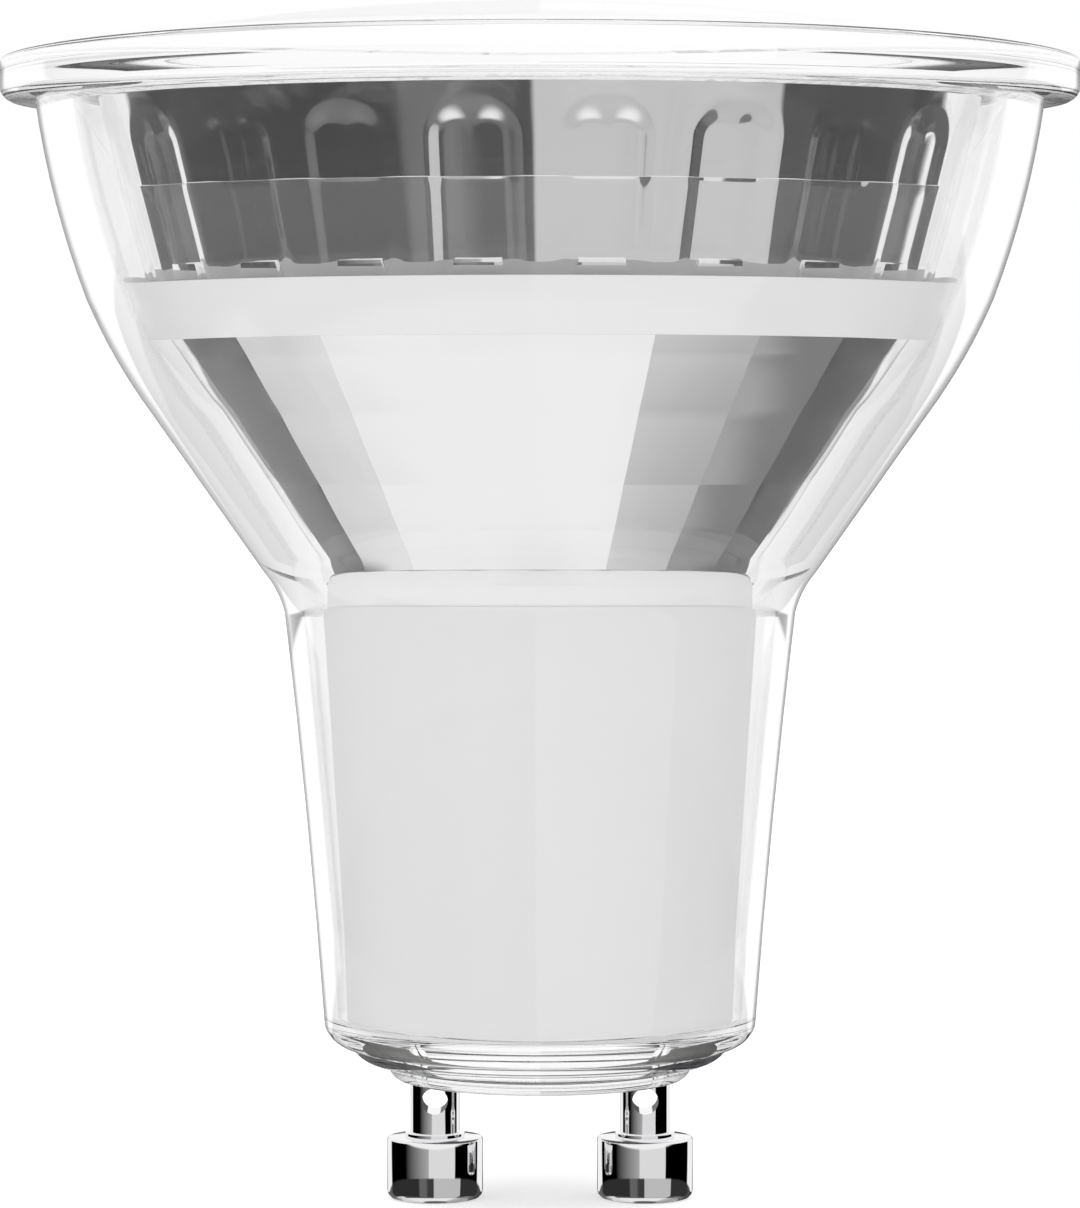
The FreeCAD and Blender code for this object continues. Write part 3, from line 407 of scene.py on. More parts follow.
class Tree:
    """A node tree that is filled one node at a time."""

    def __init__(self, owner):
        owner.use_nodes = True
        self.nodes = owner.node_tree.nodes
        self.links = owner.node_tree.links
        self.nodes.clear()

    def add(self, kind, settings=None, values=None, out=0):
        """Adds a node. Settings are set first, then the values or wires of its sockets."""
        node = self.nodes.new(kind)
        for key, value in (settings or {}).items():
            setattr(node, key, value)
        for key, value in (values or {}).items():
            if isinstance(value, Wire):
                self.links.new(value.socket, node.inputs[key])
            else:
                node.inputs[key].default_value = value
        return Wire(self, node.outputs[out])

    def split(self, vector):
        """The three parts of a vector."""
        node = self.nodes.new("ShaderNodeSeparateXYZ")
        self.links.new(vector.socket, node.inputs[0])
        return [Wire(self, socket) for socket in node.outputs]

    def ramp(self, factor, stops):
        """Grey levels along a factor, from a list of (place, level)."""
        node = self.nodes.new("ShaderNodeValToRGB")
        node.color_ramp.interpolation = "LINEAR"
        elements = node.color_ramp.elements
        while len(elements) > 1:
            elements.remove(elements[-1])
        elements[0].position, level = stops[0]
        elements[0].color = (level, level, level, 1)
        for place, level in stops[1:]:
            elements.new(place).color = (level, level, level, 1)
        self.links.new(factor.socket, node.inputs[0])
        return Wire(self, node.outputs[0])

    def end(self, kind, wire):
        """Connects the output node."""
        node = self.nodes.new(kind)
        self.links.new(wire.socket, node.inputs["Surface"])


def start_material(name):
    """A new material and its empty tree."""
    material = bpy.data.materials.new(name)
    return material, Tree(material)


def colour(value):
    """A colour with its alpha."""
    return (value[0], value[1], value[2], 1.0)


def mix_tones(tree, share, first, second):
    """Mix of two tones, the first where the share is 0."""
    return tree.add("ShaderNodeMix", {"data_type": "RGBA"}, {0: share, 6: first, 7: second}, out=2)


# Outputs of the Light Path node by their place, and the place of Texture Coordinate's Object output.
IS_CAMERA, IS_SHADOW, IS_DIFFUSE, IS_GLOSSY, IS_TRANSMISSION = 0, 1, 2, 3, 6
TIMES_MIRRORED, TIMES_CROSSED = 11, 13
OWN_SPACE = 3

# Scales of the patterns on glass and metal.
RIPPLES, CLOUDS, FINE = 90.0, 240.0, 900.0

# A ray that was mirrored more often than this leaves the glass unbent, because the renderer stops
# following it soon after.
MOST_MIRRORINGS = 2.5


def ray(tree, output):
    """One output of a Light Path node."""
    return tree.add("ShaderNodeLightPath", out=output)


def own_place(tree):
    """Position in the piece's own space."""
    return tree.add("ShaderNodeTexCoord", out=OWN_SPACE)


def surface_noise(tree, scale, detail=2.0):
    """Fine cloudy pattern in the piece's own space."""
    return tree.add("ShaderNodeTexNoise", None, {"Vector": own_place(tree), "Scale": scale, "Detail": detail})


def bump(tree, height, depth_mm):
    """Shallow relief from a pattern."""
    return tree.add("ShaderNodeBump", None, {"Height": height, "Distance": depth_mm * MM, "Strength": 1.0})


def clear_glass(name, tint, ior, ripple):
    """Clear glass that lets through lamp light, soft light and rays mirrored too often to be followed."""
    material, tree = start_material(name)
    ripples = surface_noise(tree, RIPPLES)
    glass = tree.add("ShaderNodeBsdfPrincipled", None, {
        "Base Color": colour(tint), "Roughness": 0.0, "IOR": ior, "Transmission Weight": 1.0,
        "Normal": bump(tree, ripples, ripple)})
    clear = tree.add("ShaderNodeBsdfTransparent", None, {"Color": (1, 1, 1, 1)})
    spent = ray(tree, TIMES_MIRRORED).join("GREATER_THAN", MOST_MIRRORINGS)
    shader = glass
    for share in (spent, ray(tree, IS_DIFFUSE), ray(tree, IS_SHADOW)):
        shader = tree.add("ShaderNodeMixShader", None, {0: share, 1: shader, 2: clear})
    tree.end("ShaderNodeOutputMaterial", shader)
    return material


def bright_metal(name, tint, gloss, spread, ripple):
    """Polished or metallised surface with a faint change of gloss and a faint ripple."""
    material, tree = start_material(name)
    clouds = surface_noise(tree, CLOUDS)
    fine = surface_noise(tree, FINE)
    tree.end("ShaderNodeOutputMaterial", tree.add("ShaderNodeBsdfPrincipled", None, {
        "Base Color": colour(tint), "Metallic": 1.0,
        "Roughness": clouds * spread + gloss, "Normal": bump(tree, fine, ripple)}))
    return material


def reflector_coat(name, tint, ledge):
    """Metallised coating, mirror-bright above a ledge and slightly milky below it."""
    material, tree = start_material(name)
    clouds = surface_noise(tree, CLOUDS)
    fine = surface_noise(tree, FINE)
    above = tree.split(own_place(tree))[2].join("GREATER_THAN", ledge * MM)
    tree.end("ShaderNodeOutputMaterial", tree.add("ShaderNodeBsdfPrincipled", None, {
        "Base Color": colour(tint), "Metallic": above * 0.09 + 0.9,
        "Roughness": clouds * 0.03 + 0.02, "Normal": bump(tree, fine, 0.0001)}))
    return material


# Painted shade: the darker tone painted on the white band's narrow top shelf.
PAINTED_SHELF_SHADE = (0.4, 0.4, 0.4, 1.0)


def moulded(name, tint, rough, shaded_above=None):
    """Moulded or coated surface: a slight change of tone, a fine grain and even gloss.

    What lies above the height shaded_above is painted darker, as painted shade on a narrow shelf.
    """
    material, tree = start_material(name)
    clouds = surface_noise(tree, 120.0, 4.0)
    fine = surface_noise(tree, 1500.0, 3.0)
    dark = colour([channel * (1 - 0.03) for channel in tint])
    tone = mix_tones(tree, clouds, dark, colour(tint))
    if shaded_above is not None:
        # Painted shade: above this height the tone turns to the darker painted shelf tone.
        shelf = tree.split(own_place(tree))[2].join("GREATER_THAN", shaded_above * MM)
        tone = mix_tones(tree, shelf, tone, PAINTED_SHELF_SHADE)
    tree.end("ShaderNodeOutputMaterial", tree.add("ShaderNodeBsdfPrincipled", None, {
        "Base Color": tone, "Roughness": fine * 0.1 + rough, "Normal": bump(tree, fine, 0.004)}))
    return material


# Pieces


class LAMP_OT_glass(bpy.types.Operator):
    """Clear glass body: stepped base, neck, cone and bowl, with a thick wall and two pin holes"""
    bl_idname = "lamp.glass"
    bl_label = "Glass body"

    def execute(self, context):
        size = context.scene.lamp_glass
        pins = context.scene.lamp_pins
        top = high("glass_body", 2)
        slope = ((size.cone_top_radius - size.cone_foot_radius)
                 / (size.cone_top_height - size.cone_foot_height))
        inner_foot = size.foot_radius - size.foot_wall
        corners = [
            (0.0, 0.0),
            (size.base_radius, 0.0, size.bead_bend, 1),
            (size.bead_radius, size.bead_height),
            (size.bead_radius + size.step_nick, size.bead_height + size.step_nick, size.roll_bend, 1),
            (size.roll_radius, size.roll_height),
            (size.roll_radius + size.step_nick, size.roll_height + size.step_nick, size.roll_bend, 1),
            (size.foot_radius, size.foot_height, size.neck_bend, -1),
            (size.neck_radius, size.neck_height, size.shoulder_bend, -1),
            (size.cone_foot_radius, size.cone_foot_height),
            (size.cone_top_radius, size.cone_top_height, size.waist_bend, 1),
            (size.waist_radius, size.waist_height, size.bowl_bend, 1),
            (size.top_radius, top),
            (size.top_radius - size.bowl_wall, top, size.bowl_bend - size.bowl_wall, -1),
            (size.waist_radius - size.waist_wall, size.waist_height, size.waist_bend - size.waist_wall, -1),
            (size.cone_top_radius - size.cone_wall, size.cone_top_height),
            (size.cone_foot_radius - size.cone_wall + size.shoulder_lift * slope,
             size.cone_foot_height + size.shoulder_lift, size.shoulder_bend + 0.3, 1),
            (size.neck_radius - size.neck_wall, size.neck_height + size.shoulder_lift * 0.65),
            (inner_foot, size.floor_depth + size.floor_corner, size.floor_corner, -1),
            (inner_foot - size.floor_corner, size.floor_depth),
            (0.0, size.floor_depth),
        ]
        piece = lathe("glass_shell", outline_points(corners, False), False)
        radius = pins.stem_radius + size.hole_gap
        cut_away(piece, [drum("hole", radius, -1.0, size.floor_depth + 1.0, side * pins.pitch / 2)
                         for side in (1, -1)])
        finish_piece(piece, clear_glass("clear_glass", (1, 1, 1), 1.5, 0.0004), "clear_glass", "glass_body")
        return {"FINISHED"}


class LAMP_OT_lens(bpy.types.Operator):
    """Front lens: shallow dome with an even wall in a thick rim, and the thin seal under it"""
    bl_idname = "lamp.lens"
    bl_label = "Front lens"

    def execute(self, context):
        size = context.scene.lamp_lens
        glass = context.scene.lamp_glass
        seat, crest, rim = low("front_lens", 2), high("front_lens", 2), high("front_lens", 0)
        rim_top = seat + size.rim_depth
        rise = crest - rim_top
        inner_foot = seat + size.recess_depth
        inner_rise = crest - size.wall - inner_foot
        corners = [
            (0.0, crest - size.wall, (size.recess_radius ** 2 + inner_rise ** 2) / (2 * inner_rise), -1),
            (size.recess_radius, inner_foot),
            (size.recess_radius, seat),
            (rim - size.foot_bevel, seat, size.bevel_bend, 1),
            (rim, seat + size.foot_bevel),
            (rim, rim_top - size.top_bevel, size.bevel_bend, 1),
            (rim - size.top_bevel, rim_top),
            (size.dome_radius, rim_top, (size.dome_radius ** 2 + rise ** 2) / (2 * rise), 1),
            (0.0, crest),
        ]
        piece = lathe("lens_dome", outline_points(corners, False), False, 320)
        finish_piece(piece, clear_glass("lens_glass", (1, 1, 1), 1.5, 0.0003), "lens_glass", "front_lens")
        inset, seal_foot = 0.15, low("lens_seal", 2)
        inner, outer = glass.top_radius - glass.bowl_wall + inset, glass.top_radius - inset
        ring = [(inner, seal_foot), (outer, seal_foot), (outer, seat), (inner, seat)]
        seal = lathe("seal_ring", ring, True)
        finish_piece(seal, clear_glass("clear_adhesive", (0.97, 0.97, 0.97), 1.42, 0.002),
                     "clear_adhesive", "lens_seal")
        return {"FINISHED"}


def soft_inner(first, second, blend):
    """The lesser of two values, with a soft change where they meet."""
    return (first + second - math.sqrt((first - second) ** 2 + blend ** 2)) / 2


class LAMP_OT_flutes(bpy.types.Operator):
    """Upper reflector: a bright ring of arched flutes with a ledge half-way and a toe in each"""
    bl_idname = "lamp.flutes"
    bl_label = "Fluted reflector"

    def execute(self, context):
        size = context.scene.lamp_flutes
        foot, top, ledge = low("fluted_reflector", 2), high("fluted_reflector", 2), size.ledge_height
        wall, pace = size.wall, 44      # pace: steps across one flute
        hair = 1e-3                     # height of the ledge's upright step
        below = ledge - size.ledge_round
        turn = math.tau / size.count

        def plain(height):
            """Radius of the ring's wall between flutes."""
            if height < ledge - hair / 2:
                return (size.foot_radius
                        + (size.ledge_radius - size.foot_radius) * (height - foot) / (ledge - foot))
            start = size.ledge_radius - size.ledge_step
            return start + (size.top_radius - start) * (height - ledge) / (top - ledge)

        def fluted(height, across):
            """Radius with the flutes, at an angle from the middle of one."""
            wall_radius = plain(height)
            aside = wall_radius * math.sin(across) / size.half_width
            above = max(height - size.arch_height, 0.0) / size.arch_reach
            span = math.hypot(aside, above)
            side, head = size.half_width * size.side_slope, size.arch_reach * size.arch_slope
            edge = side + (head - side) * (above / max(span, 1e-6)) ** 2
            deep = -soft_inner(-soft_inner(size.depth, (1 - span) * edge, size.blend), 0.0, size.blend)
            if below < height < ledge - hair / 2:
                deep += size.ledge_drop * deep / size.depth * ((height - below) / size.ledge_round) ** 2
            return wall_radius - deep

        stretches = ((foot, below, 10), (below, ledge - hair, 8), (ledge, top, 44))
        heights = [height for start, end, rows in stretches
                   for _, height in divided((0, start), (0, end), rows)]
        heights = sorted(heights + [ledge - hair, top])
        points = [(plain(height), height) for height in heights]
        points += [(plain(height) - wall, height) for height in (top, ledge, foot)]
        piece = lathe("flute_ring", points, True, pace * size.count, smooth=180.0)
        for vertex in piece.data.vertices:
            radius, height = math.hypot(vertex.co.x, vertex.co.y) / MM, vertex.co.z / MM
            if radius < plain(height) - wall / 2:
                continue
            angle = math.atan2(vertex.co.y, vertex.co.x)
            pushed = fluted(height, (angle + turn / 2) % turn - turn / 2)
            vertex.co.x, vertex.co.y = pushed * MM * math.cos(angle), pushed * MM * math.sin(angle)
        pick_only(piece)
        bpy.ops.object.shade_smooth_by_angle(angle=math.radians(40.0))
        self.join_toes(piece, size, foot)
        colours = context.scene.lamp_finish
        finish_piece(piece, reflector_coat("bright_mirror", colours.mirror, size.ledge_height),
                     "bright_mirror", "fluted_reflector")
        return {"FINISHED"}

    def join_toes(self, piece, size, foot):
        """Adds the short tapered foot under each flute."""
        toes = []
        root, tip = size.foot_radius - size.wall / 2, size.foot_radius - size.depth + size.toe_reach
        lean = (size.ledge_radius - size.foot_radius) / (size.ledge_height - foot) * size.toe_height
        for index in range(size.count):
            bpy.ops.object.select_all(action="DESELECT")
            bpy.ops.mesh.primitive_cube_add(size=1.0)
            toe = bpy.context.active_object
            for vertex in toe.data.vertices:
                far, high_end = vertex.co.x > 0, vertex.co.z > 0
                half = size.toe_width / 2 * (0.9 if high_end else 1.0)
                reach = (tip + (lean if high_end else 0.0)) if far else root
                vertex.co = (reach * MM, math.copysign(half, vertex.co.y) * MM,
                             (foot + (size.toe_height if high_end else 0.0)) * MM)
            bevel = toe.modifiers.new("edge", "BEVEL")
            bevel.width, bevel.segments = 0.03 * MM, 2
            pick_only(toe)
            bpy.ops.object.modifier_apply(modifier=bevel.name)
            bpy.ops.object.mode_set(mode="EDIT")
            bpy.ops.mesh.select_all(action="SELECT")
            bpy.ops.transform.rotate(value=index * math.tau / size.count, orient_axis="Z",
                                     center_override=(0, 0, 0))
            bpy.ops.object.mode_set(mode="OBJECT")
            bpy.ops.object.shade_smooth_by_angle(angle=math.radians(SHARP_ANGLE))
            toes.append(toe)
        join_all(piece, toes)


class LAMP_OT_facets(bpy.types.Operator):
    """Lower reflector: a bright cone of cushion facets on a flat mouth ring"""
    bl_idname = "lamp.facets"
    bl_label = "Faceted reflector"

    def execute(self, context):
        size = context.scene.lamp_facets
        foot, top = low("facet_reflector", 2), high("facet_reflector", 2)
        slope = (size.top_radius - size.foot_radius) / (top - foot)
        lean = math.atan(slope)
        turn = math.tau / size.columns
        pace, rows = 12, 12             # steps across and up one facet
        thickness = size.wall / math.cos(lean)
        mouth = size.foot_radius - size.mouth_wall
        mouth_top = foot + size.mouth_depth
        centres = [foot + size.row_rise]
        step = size.row_pitch
        while centres[-1] < top:
            centres.append(centres[-1] + step)
            step *= size.row_ratio

        def plain(height):
            """Radius of the cone's wall."""
            return size.foot_radius + (height - foot) * slope

        def cushion(height, across):
            """How far the cushions stand out of the wall, measured level."""
            along = min(abs(height - centre) for centre in centres) / math.cos(lean)
            aside = plain(height) * math.sin(across)
            drop = (aside ** 2 / 2 * (1 / size.bend - math.cos(lean) / plain(height))
                    + along ** 2 / 2 / size.bend)
            return (size.crown - drop) / math.cos(lean)

        edges = [(lower + upper) / 2 for lower, upper in zip(centres, centres[1:])]
        levels = [foot] + [edge for edge in edges if edge < top] + [top]
        heights = [height for lower, upper in zip(levels, levels[1:])
                   for _, height in divided((0, lower), (0, upper), rows)] + [top]
        outer = [(plain(height), height) for height in heights]
        inner = [(radius - thickness, height) for radius, height in outer if height > mouth_top]
        join = plain(mouth_top) - thickness
        points = [(mouth, foot)] + outer + list(reversed(inner)) + [(join, mouth_top), (mouth, mouth_top)]
        piece = lathe("facet_cone", points, True, pace * size.columns, smooth=180.0)
        for vertex in piece.data.vertices:
            radius, height = math.hypot(vertex.co.x, vertex.co.y) / MM, vertex.co.z / MM
            if radius < join - 1e-3 and height < mouth_top + 1e-3:
                continue
            angle = math.atan2(vertex.co.y, vertex.co.x)
            across = (angle + turn / 2) % turn - turn / 2
            pushed = radius + cushion(height, across)
            vertex.co.x, vertex.co.y = pushed * MM * math.cos(angle), pushed * MM * math.sin(angle)
        pick_only(piece)
        bpy.ops.object.shade_smooth_by_angle(angle=math.radians(4.0))
        colours = context.scene.lamp_finish
        finish_piece(piece, bright_metal("facet_mirror", colours.mirror, 0.03, 0.04, 0.0001),
                     "bright_mirror", "facet_reflector")
        return {"FINISHED"}


class LAMP_OT_white_parts(bpy.types.Operator):
    """White band between the reflectors, white collar and white sleeve"""
    bl_idname = "lamp.white_parts"
    bl_label = "White parts"

    def execute(self, context):
        colours = context.scene.lamp_finish
        size = context.scene.lamp_sleeve
        foot, top = low("carrier_ring", 2), high("carrier_ring", 2)
        band = lathe("white_ring", [
            (size.band_foot_radius - size.band_foot_wall, foot), (size.band_foot_radius, foot),
            (size.band_top_radius, top), (size.band_top_radius - size.band_top_wall, top)], True)
        # The band's top shelf gets painted shade.
        finish_piece(band, moulded("white_band", colours.band, 0.3, shaded_above=top - 0.02),
                     "white_band", "carrier_ring")
        foot, top = low("sleeve_collar", 2), high("sleeve_collar", 2)
        radius, bead, groove = high("sleeve_collar", 0), 0.04, 0.2
        bore, pocket, floor = 7.8, 8.8, foot + 0.6
        corners = [(bore, foot), (radius - groove, foot, groove, 1), (radius, foot + groove),
                   (radius, top - bead, bead, 1), (radius - bead, top), (pocket, top), (pocket, floor),
                   (bore, floor)]
        collar = lathe("collar", outline_points(corners, True), True, 192)
        finish_piece(collar, moulded("collar_white", colours.band, 0.35), "white_plastic", "sleeve_collar")
        self.make_sleeve(size, colours)
        return {"FINISHED"}

    def make_sleeve(self, size, colours):
        """Tapered sleeve with a floor and four guides that hold the driver's board."""
        foot, top, wall = low("driver_sleeve", 2), high("driver_sleeve", 2), size.wall
        floor = foot + wall
        sleeve = lathe("sleeve", [
            (size.opening, foot), (size.foot_radius, foot), (size.top_radius, top),
            (size.top_radius - wall, top), (size.foot_radius - wall, floor), (size.opening, floor)], True)
        behind = high("driver_board", 1) + size.guide_gap
        front = low("driver_board", 1) - size.guide_gap - size.guide_width
        guides = []
        for near in (behind, front):
            reach = math.sqrt((size.foot_radius - wall / 2) ** 2 - (near + size.guide_width) ** 2)
            for left, right in ((size.guide_start, reach), (-reach, -size.guide_start)):
                guides.append(block("guide", (left, near, floor - wall / 2),
                                    (right, near + size.guide_width, floor + size.guide_rise)))
        join_all(sleeve, guides)
        finish_piece(sleeve, moulded("sleeve_white", colours.sleeve, 0.4), "white_plastic", "driver_sleeve")


class LAMP_OT_pins(bpy.types.Operator):
    """Chrome contact pins: headed, with a cross hole and a riveted, hollow tail"""
    bl_idname = "lamp.pins"
    bl_label = "Contact pins"

    def execute(self, context):
        size = context.scene.lamp_pins
        head_top = -size.stem_length
        head_foot = head_top - size.head_depth
        corners = [
            (0.0, head_foot),
            (size.head_radius - size.foot_round, head_foot, size.foot_round, 1),
            (size.head_radius, head_foot + size.foot_round),
            (size.head_radius, head_top - size.top_round, size.top_round, 1),
            (size.head_radius - size.top_round, head_top),
            (size.seat_radius, head_top),
            (size.seat_radius, head_top + size.seat_depth),
            (size.stem_radius, head_top + size.seat_depth),
            (size.stem_radius, size.rivet_foot),
            (size.rivet_radius, size.rivet_foot),
            (size.tail_radius, size.rivet_top),
            (size.tail_radius, size.tail_top),
            (size.bore_radius, size.tail_top),
            (size.bore_radius, size.bore_floor),
            (0.0, size.bore_floor),
        ]
        chrome = bright_metal("bright_chrome", context.scene.lamp_finish.chrome, 0.02, 0.02, 0.0001)
        for side, word in ((1, "right"), (-1, "left")):
            place = side * size.pitch / 2
            pin = lathe("pin_" + word, outline_points(corners, False), False, 128, place=place)
            cut_away(pin, [drum("hole", size.hole_radius, -size.hole_drop, 4 * size.stem_radius, place, "Y")])
            finish_piece(pin, chrome, "bright_chrome", "contact_pin_" + word)
        return {"FINISHED"}


INNER_FINISHES = {
    "sleeve_adhesive": ("adhesive_white", (0.82, 0.82, 0.8), 0.6),
    "led_board": ("board_white", (0.85, 0.85, 0.83), 0.35),
    "led_chips": ("chip_frame", (0.88, 0.86, 0.8), 0.4),
    "driver_board": ("board_green", (0.03, 0.2, 0.08), 0.4),
    "electrolytic_capacitor": ("can_sleeve", (0.03, 0.03, 0.04), 0.3),
    "film_capacitor": ("film_case", (0.7, 0.5, 0.08), 0.3),
    "choke_core": ("ferrite", (0.05, 0.05, 0.055), 0.6),
    "bridge_rectifier": ("rectifier_case", (0.03, 0.03, 0.03), 0.5),
    "driver_chip": ("chip_case", (0.03, 0.03, 0.03), 0.45),
    "fuse_resistor": ("resistor_coat", (0.2, 0.35, 0.45), 0.5),
    "live_lead": ("wire_red", (0.55, 0.04, 0.03), 0.35),
    "neutral_lead": ("wire_black", (0.03, 0.03, 0.03), 0.35),
    "led_plus_lead": ("wire_red_thin", (0.55, 0.04, 0.03), 0.35),
    "led_minus_lead": ("wire_black_thin", (0.03, 0.03, 0.03), 0.35),
}


class LAMP_OT_inner_parts(bpy.types.Operator):
    """Finishes of the light source and the driver, and the phosphor in each light source"""
    bl_idname = "lamp.inner_parts"
    bl_label = "Inner parts"

    def execute(self, context):
        for node, (name, tint, rough) in INNER_FINISHES.items():
            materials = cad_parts[node].data.materials
            materials.clear()
            materials.append(moulded(name, tint, rough))
        for node, name, tint, gloss in (
                ("heat_spreader", "milled_aluminium", (0.75, 0.75, 0.77), 0.3),
                ("board_screws", "zinc_screws", (0.6, 0.6, 0.62), 0.25),
                ("pin_washers", "zinc_washers", (0.6, 0.6, 0.62), 0.3),
                ("choke_winding", "copper_winding", (0.6, 0.25, 0.1), 0.3)):
            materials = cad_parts[node].data.materials
            materials.clear()
            materials.append(bright_metal(name, tint, gloss, 0.1, 0.002))
        self.fill_windows(context.scene.lamp_sleeve)
        return {"FINISHED"}

    def fill_windows(self, size):
        """Yellow phosphor in the window of each light source."""
        foot = high("led_chips", 2) - size.window_depth
        fill = size.window_depth / 2
        fills = []
        sources = 7                     # the last one stands in the middle
        for index in range(sources):
            angle = math.radians(30 + 60 * index)
            reach = size.source_place * MM if index < sources - 1 else 0.0
            bpy.ops.object.select_all(action="DESELECT")
            bpy.ops.mesh.primitive_cylinder_add(
                vertices=48, radius=size.window_radius * MM, depth=fill * MM,
                location=(reach * math.cos(angle), reach * math.sin(angle), (foot + fill / 2) * MM))
            bpy.ops.object.transform_apply(location=True, rotation=True, scale=True)
            bpy.ops.object.shade_smooth_by_angle(angle=math.radians(SHARP_ANGLE))
            fills.append(bpy.context.active_object)
        piece = fills[-1]
        piece.name = "phosphor"
        join_all(piece, fills[:-1])
        piece.data.materials.clear()
        piece.data.materials.append(moulded("phosphor_yellow", (0.85, 0.6, 0.08), 0.5))
        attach(piece, "root")


# Studio

# Grey levels that bright pieces mirror, in rings round the lamp. The place is the angle from the
# camera's direction, in degrees; the two ends are the far side. GLASS_RING is for rays that were
# mirrored inside the glass's own wall.
LEVEL_RING = [(-180, 0.2), (-163, 0.2), (-158, 1.0), (-129, 1.0), (-127, 0.0), (-74, 0.0), (-14.5, 0.43),
              (-13.5, 0.8), (49.5, 0.8), (50.5, 0.0), (123, 0.0), (125, 1.0), (158, 1.0), (163, 0.1),
              (180, 0.1)]
GLASS_RING = [(-180, 0.6), (-170, 0.45), (-160, 0.06), (-122, 0.05), (-119, 0.9), (119, 0.9), (122, 0.06),
              (158, 0.06), (160, 1.0), (180, 1.0)]
DIPPED_RING = [(-180, 0.18), (-145, 0.14), (-130, 0.12), (-125, 0.03), (-40, 0.03), (-36, 0.14), (-22, 0.14),
               (-16, 0.05), (-2, 0.05), (-1.5, 0.56), (65, 0.56), (66, 0.035), (125, 0.035), (130, 0.08),
               (180, 0.05)]
LOW_RING = [(-180, 0.4), (-150, 0.36), (-138, 0.34), (-128, 0.42), (-122, 0.62), (-95, 0.85), (-88, 0.13),
            (-3, 0.13), (-2, 0.5), (62, 0.5), (63, 0.13), (84, 0.13), (92, 0.24), (118, 0.18), (132, 0.13),
            (160, 0.1), (180, 0.2)]
FOOT_RING = [(-180, 0.8), (-110, 0.75), (-80, 0.92), (50, 0.92), (66, 0.62), (90, 0.42), (120, 0.4),
             (180, 0.6)]
NADIR_LEVEL = 0.13

# Between these two heights, in degrees above the horizon, one tone gives way to the next.
LEVEL_TO_WHITE, WHITE_TO_GLASS, ALL_TO_WHITE = (3.5, 5.0), (2.0, 3.2), (12, 30)
TO_DIPPED, TO_LOW, TO_FOOT, TO_NADIR = (-12.6, -13.6), (-30, -36), (-41, -47), (-73, -77)
GLASS_CLEAR = 0.8      # how much of the lower rings the glass's own wall leaves out

FLOOR_RADIUS, FLOOR_TONE, FLOOR_GLOW = 3.0, 0.8, 0.45
LAMP_WIDTH, LAMP_POWER = 0.5, 0.35
LAMP_PLACE, LAMP_TURN = (-0.35, -0.45, 0.4), (52, 0, -38)


